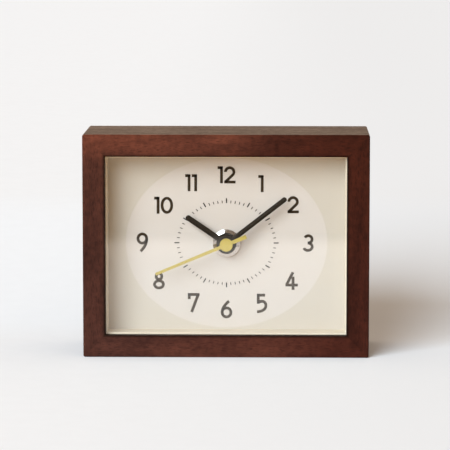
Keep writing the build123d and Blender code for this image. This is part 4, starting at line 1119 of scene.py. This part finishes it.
class DESKCLOCK_OT_stage(bpy.types.Operator):
    """Set the floor, the light and the camera"""

    bl_idname = "desk_clock.stage"
    bl_label = "Studio"

    def execute(self, context):
        studio = settings(context, "studio")
        context.scene.view_settings.view_transform = "Standard"
        self.sheet("floor", FLOOR_SIDE, self.paper(studio), studio)
        self.studio_sky(context, studio)
        self.key_light(studio)
        self.camera(context, studio)
        return {"FINISHED"}

    def paper(self, studio):
        """Paper, with painted shade at the right and on its rise. In front, mirrors see it dark and the
        dial warm.
        """
        colour = studio.floor_colour
        material = grained("pale_floor", colour, 0.8, 0.9, scale=400.0, contrast=0.985, gloss=0.0)
        net = Net(material.node_tree)
        principled = net.tree.nodes["Principled BSDF"]
        parts = net.split(net.place())
        slope = net.split(net.add("ShaderNodeNewGeometry").outputs["Normal"])
        tone = principled.inputs["Base Color"].links[0].from_socket
        # Painted shade: the paper is painted dimmer towards the right, for light falling off away from the
        # left
        rightward = net.ramp(parts["X"], 0.0, 1.0, -FLOOR_FALLOFF, FLOOR_FALLOFF)
        tone = net.blend(rightward, tone, darker(colour, FLOOR_PAINTED_DIM))
        rays = net.rays()
        mirrored = net.math("MAXIMUM", rays["Is Glossy Ray"], rays["Is Transmission Ray"])
        # Painted shade on the rise: the paper is painted darker where its slope faces the front
        look = {
            "Base Color": net.blend(net.times(slope["Y"], -studio.rise_tone), tone, BLACK),
            "Emission Color": studio.glow_colour,
            "Emission Strength": net.times(mirrored, studio.table_glow),
        }
        net.feed(principled, look)
        warm = darker(studio.bounce_colour, studio.bounce_strength)
        beyond = [
            (mirrored, studio.table_reach, (studio.room_dark,) * 3),
            (rays["Is Diffuse Ray"], studio.bounce_reach, warm),
        ]
        glows = []
        for ray, reach, glow in beyond:
            edges = (-reach - studio.table_fade, -reach + studio.table_fade)
            share = net.times(ray, net.ramp(parts["Y"], 1.0, 0.0, *edges))
            glows.append((share, net.add("ShaderNodeEmission", {"Color": glow}).outputs["Emission"]))
        net.surface(principled.outputs["BSDF"], glows)
        material.cycles.emission_sampling = "NONE"
        return material

    def sheet(self, name, side, material, studio):
        """A sheet that lies flat under the clock and rises a little behind it."""
        rows = [(-side, 0.0)]
        height = 0.0
        for step in range(RISE_STEPS + 1):
            share = step / RISE_STEPS
            rows.append((studio.rise_start + studio.rise_length * share, height))
            steepness = studio.rise_slope * min(1.0, share / RISE_IN, (1 - share) / RISE_OUT)
            height += steepness * studio.rise_length / RISE_STEPS
        rows.append((side, height))
        corners = [(x, along, height) for along, height in rows for x in (-side, side)]
        faces = [(k, k + 1, k + 3, k + 2) for k in range(0, len(corners) - 2, 2)]
        mesh = bpy.data.meshes.new(name)
        mesh.from_pydata(corners, [], faces)
        mesh.shade_smooth()
        mesh.materials.append(material)
        sheet = bpy.data.objects.new(name, mesh)
        bpy.context.collection.objects.link(sheet)

    def studio_sky(self, context, studio):
        """Soft light from all round, another one for mirrors, and a backdrop as pale as the floor."""
        world = bpy.data.worlds.new("studio")
        world.use_nodes = True
        context.scene.world = world
        net = Net(world.node_tree)
        parts = net.split(net.add("ShaderNodeTexCoord").outputs["Generated"])
        behind = net.ramp(parts["Y"], 0.0, 1.0, *SKY_BEHIND)
        above = net.ramp(parts["Z"], 0.0, 1.0, *SKY_ABOVE)
        rays = net.rays()
        unmirrored = net.ramp(rays["Is Glossy Ray"], 1.0, studio.above_mirrored)
        share = net.math("MAXIMUM", behind, net.times(above, unmirrored))
        front = darker(studio.front_colour, studio.room_front)
        front = net.blend(rays["Is Glossy Ray"], front, darker(front, studio.room_mirrored))
        sky = darker(studio.sky_colour, studio.backdrop)
        sky = net.blend(rays["Is Glossy Ray"], sky, darker(studio.mirrored_colour, studio.sky_mirrored))
        seen = net.blend(rays["Is Camera Ray"], net.blend(share, front, sky), studio.seen_colour)
        net.feed(net.tree.nodes["Background"], {"Color": seen})

    def key_light(self, studio):
        """The main light, wide and cool, from the upper left in front. Mirrors don't show it."""
        light = bpy.data.lights.new("key_light", "SUN")
        light.energy = studio.key_strength
        light.angle = studio.key_spread
        light.color = studio.key_colour
        key = bpy.data.objects.new("key_light", light)
        key.rotation_euler = Vector(studio.key_from).to_track_quat("Z", "Y").to_euler()
        key.visible_glossy = False
        bpy.context.collection.objects.link(key)

    def camera(self, context, studio):
        """The camera, in front of the clock and a little above it and to its right."""
        data = bpy.data.cameras.new("camera")
        data.sensor_width = SENSOR_WIDTH
        data.lens = studio.focal_pixels * SENSOR_WIDTH / IMAGE_WIDTH
        data.clip_end = CAMERA_SIGHT
        camera = bpy.data.objects.new("camera", data)
        camera.location = studio.camera_place
        camera.rotation_euler = (math.radians(90) - studio.camera_tilt, 0.0, studio.camera_heading)
        bpy.context.collection.objects.link(camera)
        context.scene.camera = camera


GROUPS = {
    "case": CaseLooks,
    "dial": DialPrint,
    "hands": HandLooks,
    "movement": MovementLooks,
    "studio": StudioSettings,
}
OPERATORS = [
    DESKCLOCK_OT_case,
    DESKCLOCK_OT_glass,
    DESKCLOCK_OT_bead,
    DESKCLOCK_OT_dial,
    DESKCLOCK_OT_numerals,
    DESKCLOCK_OT_strokes,
    DESKCLOCK_OT_hands,
    DESKCLOCK_OT_screws,
    DESKCLOCK_OT_movement,
    DESKCLOCK_OT_signs,
    DESKCLOCK_OT_cell,
    DESKCLOCK_OT_stage,
]


class DESKCLOCK_PT_panel(bpy.types.Panel):
    """The steps that dress the clock, in order"""

    bl_idname = "DESKCLOCK_PT_panel"
    bl_label = "Desk clock"
    bl_space_type = "VIEW_3D"
    bl_region_type = "UI"
    bl_category = "Desk clock"

    def draw(self, context):
        for operator in OPERATORS:
            self.layout.operator(operator.bl_idname)


def register():
    """Registers the settings, the operators and the panel."""
    for name, group in GROUPS.items():
        bpy.utils.register_class(group)
        setattr(bpy.types.Scene, "desk_clock_" + name, PointerProperty(type=group))
    for item in [*OPERATORS, DESKCLOCK_PT_panel]:
        bpy.utils.register_class(item)


def unregister():
    """Takes everything out again."""
    for item in reversed([*OPERATORS, DESKCLOCK_PT_panel]):
        bpy.utils.unregister_class(item)
    for name, group in reversed(GROUPS.items()):
        delattr(bpy.types.Scene, "desk_clock_" + name)
        bpy.utils.unregister_class(group)


def main():
    """Dresses the clock step by step."""
    register()
    for operator in OPERATORS:
        group, name = operator.bl_idname.split(".")
        getattr(getattr(bpy.ops, group), name)()


if __name__ == "__main__":
    main()
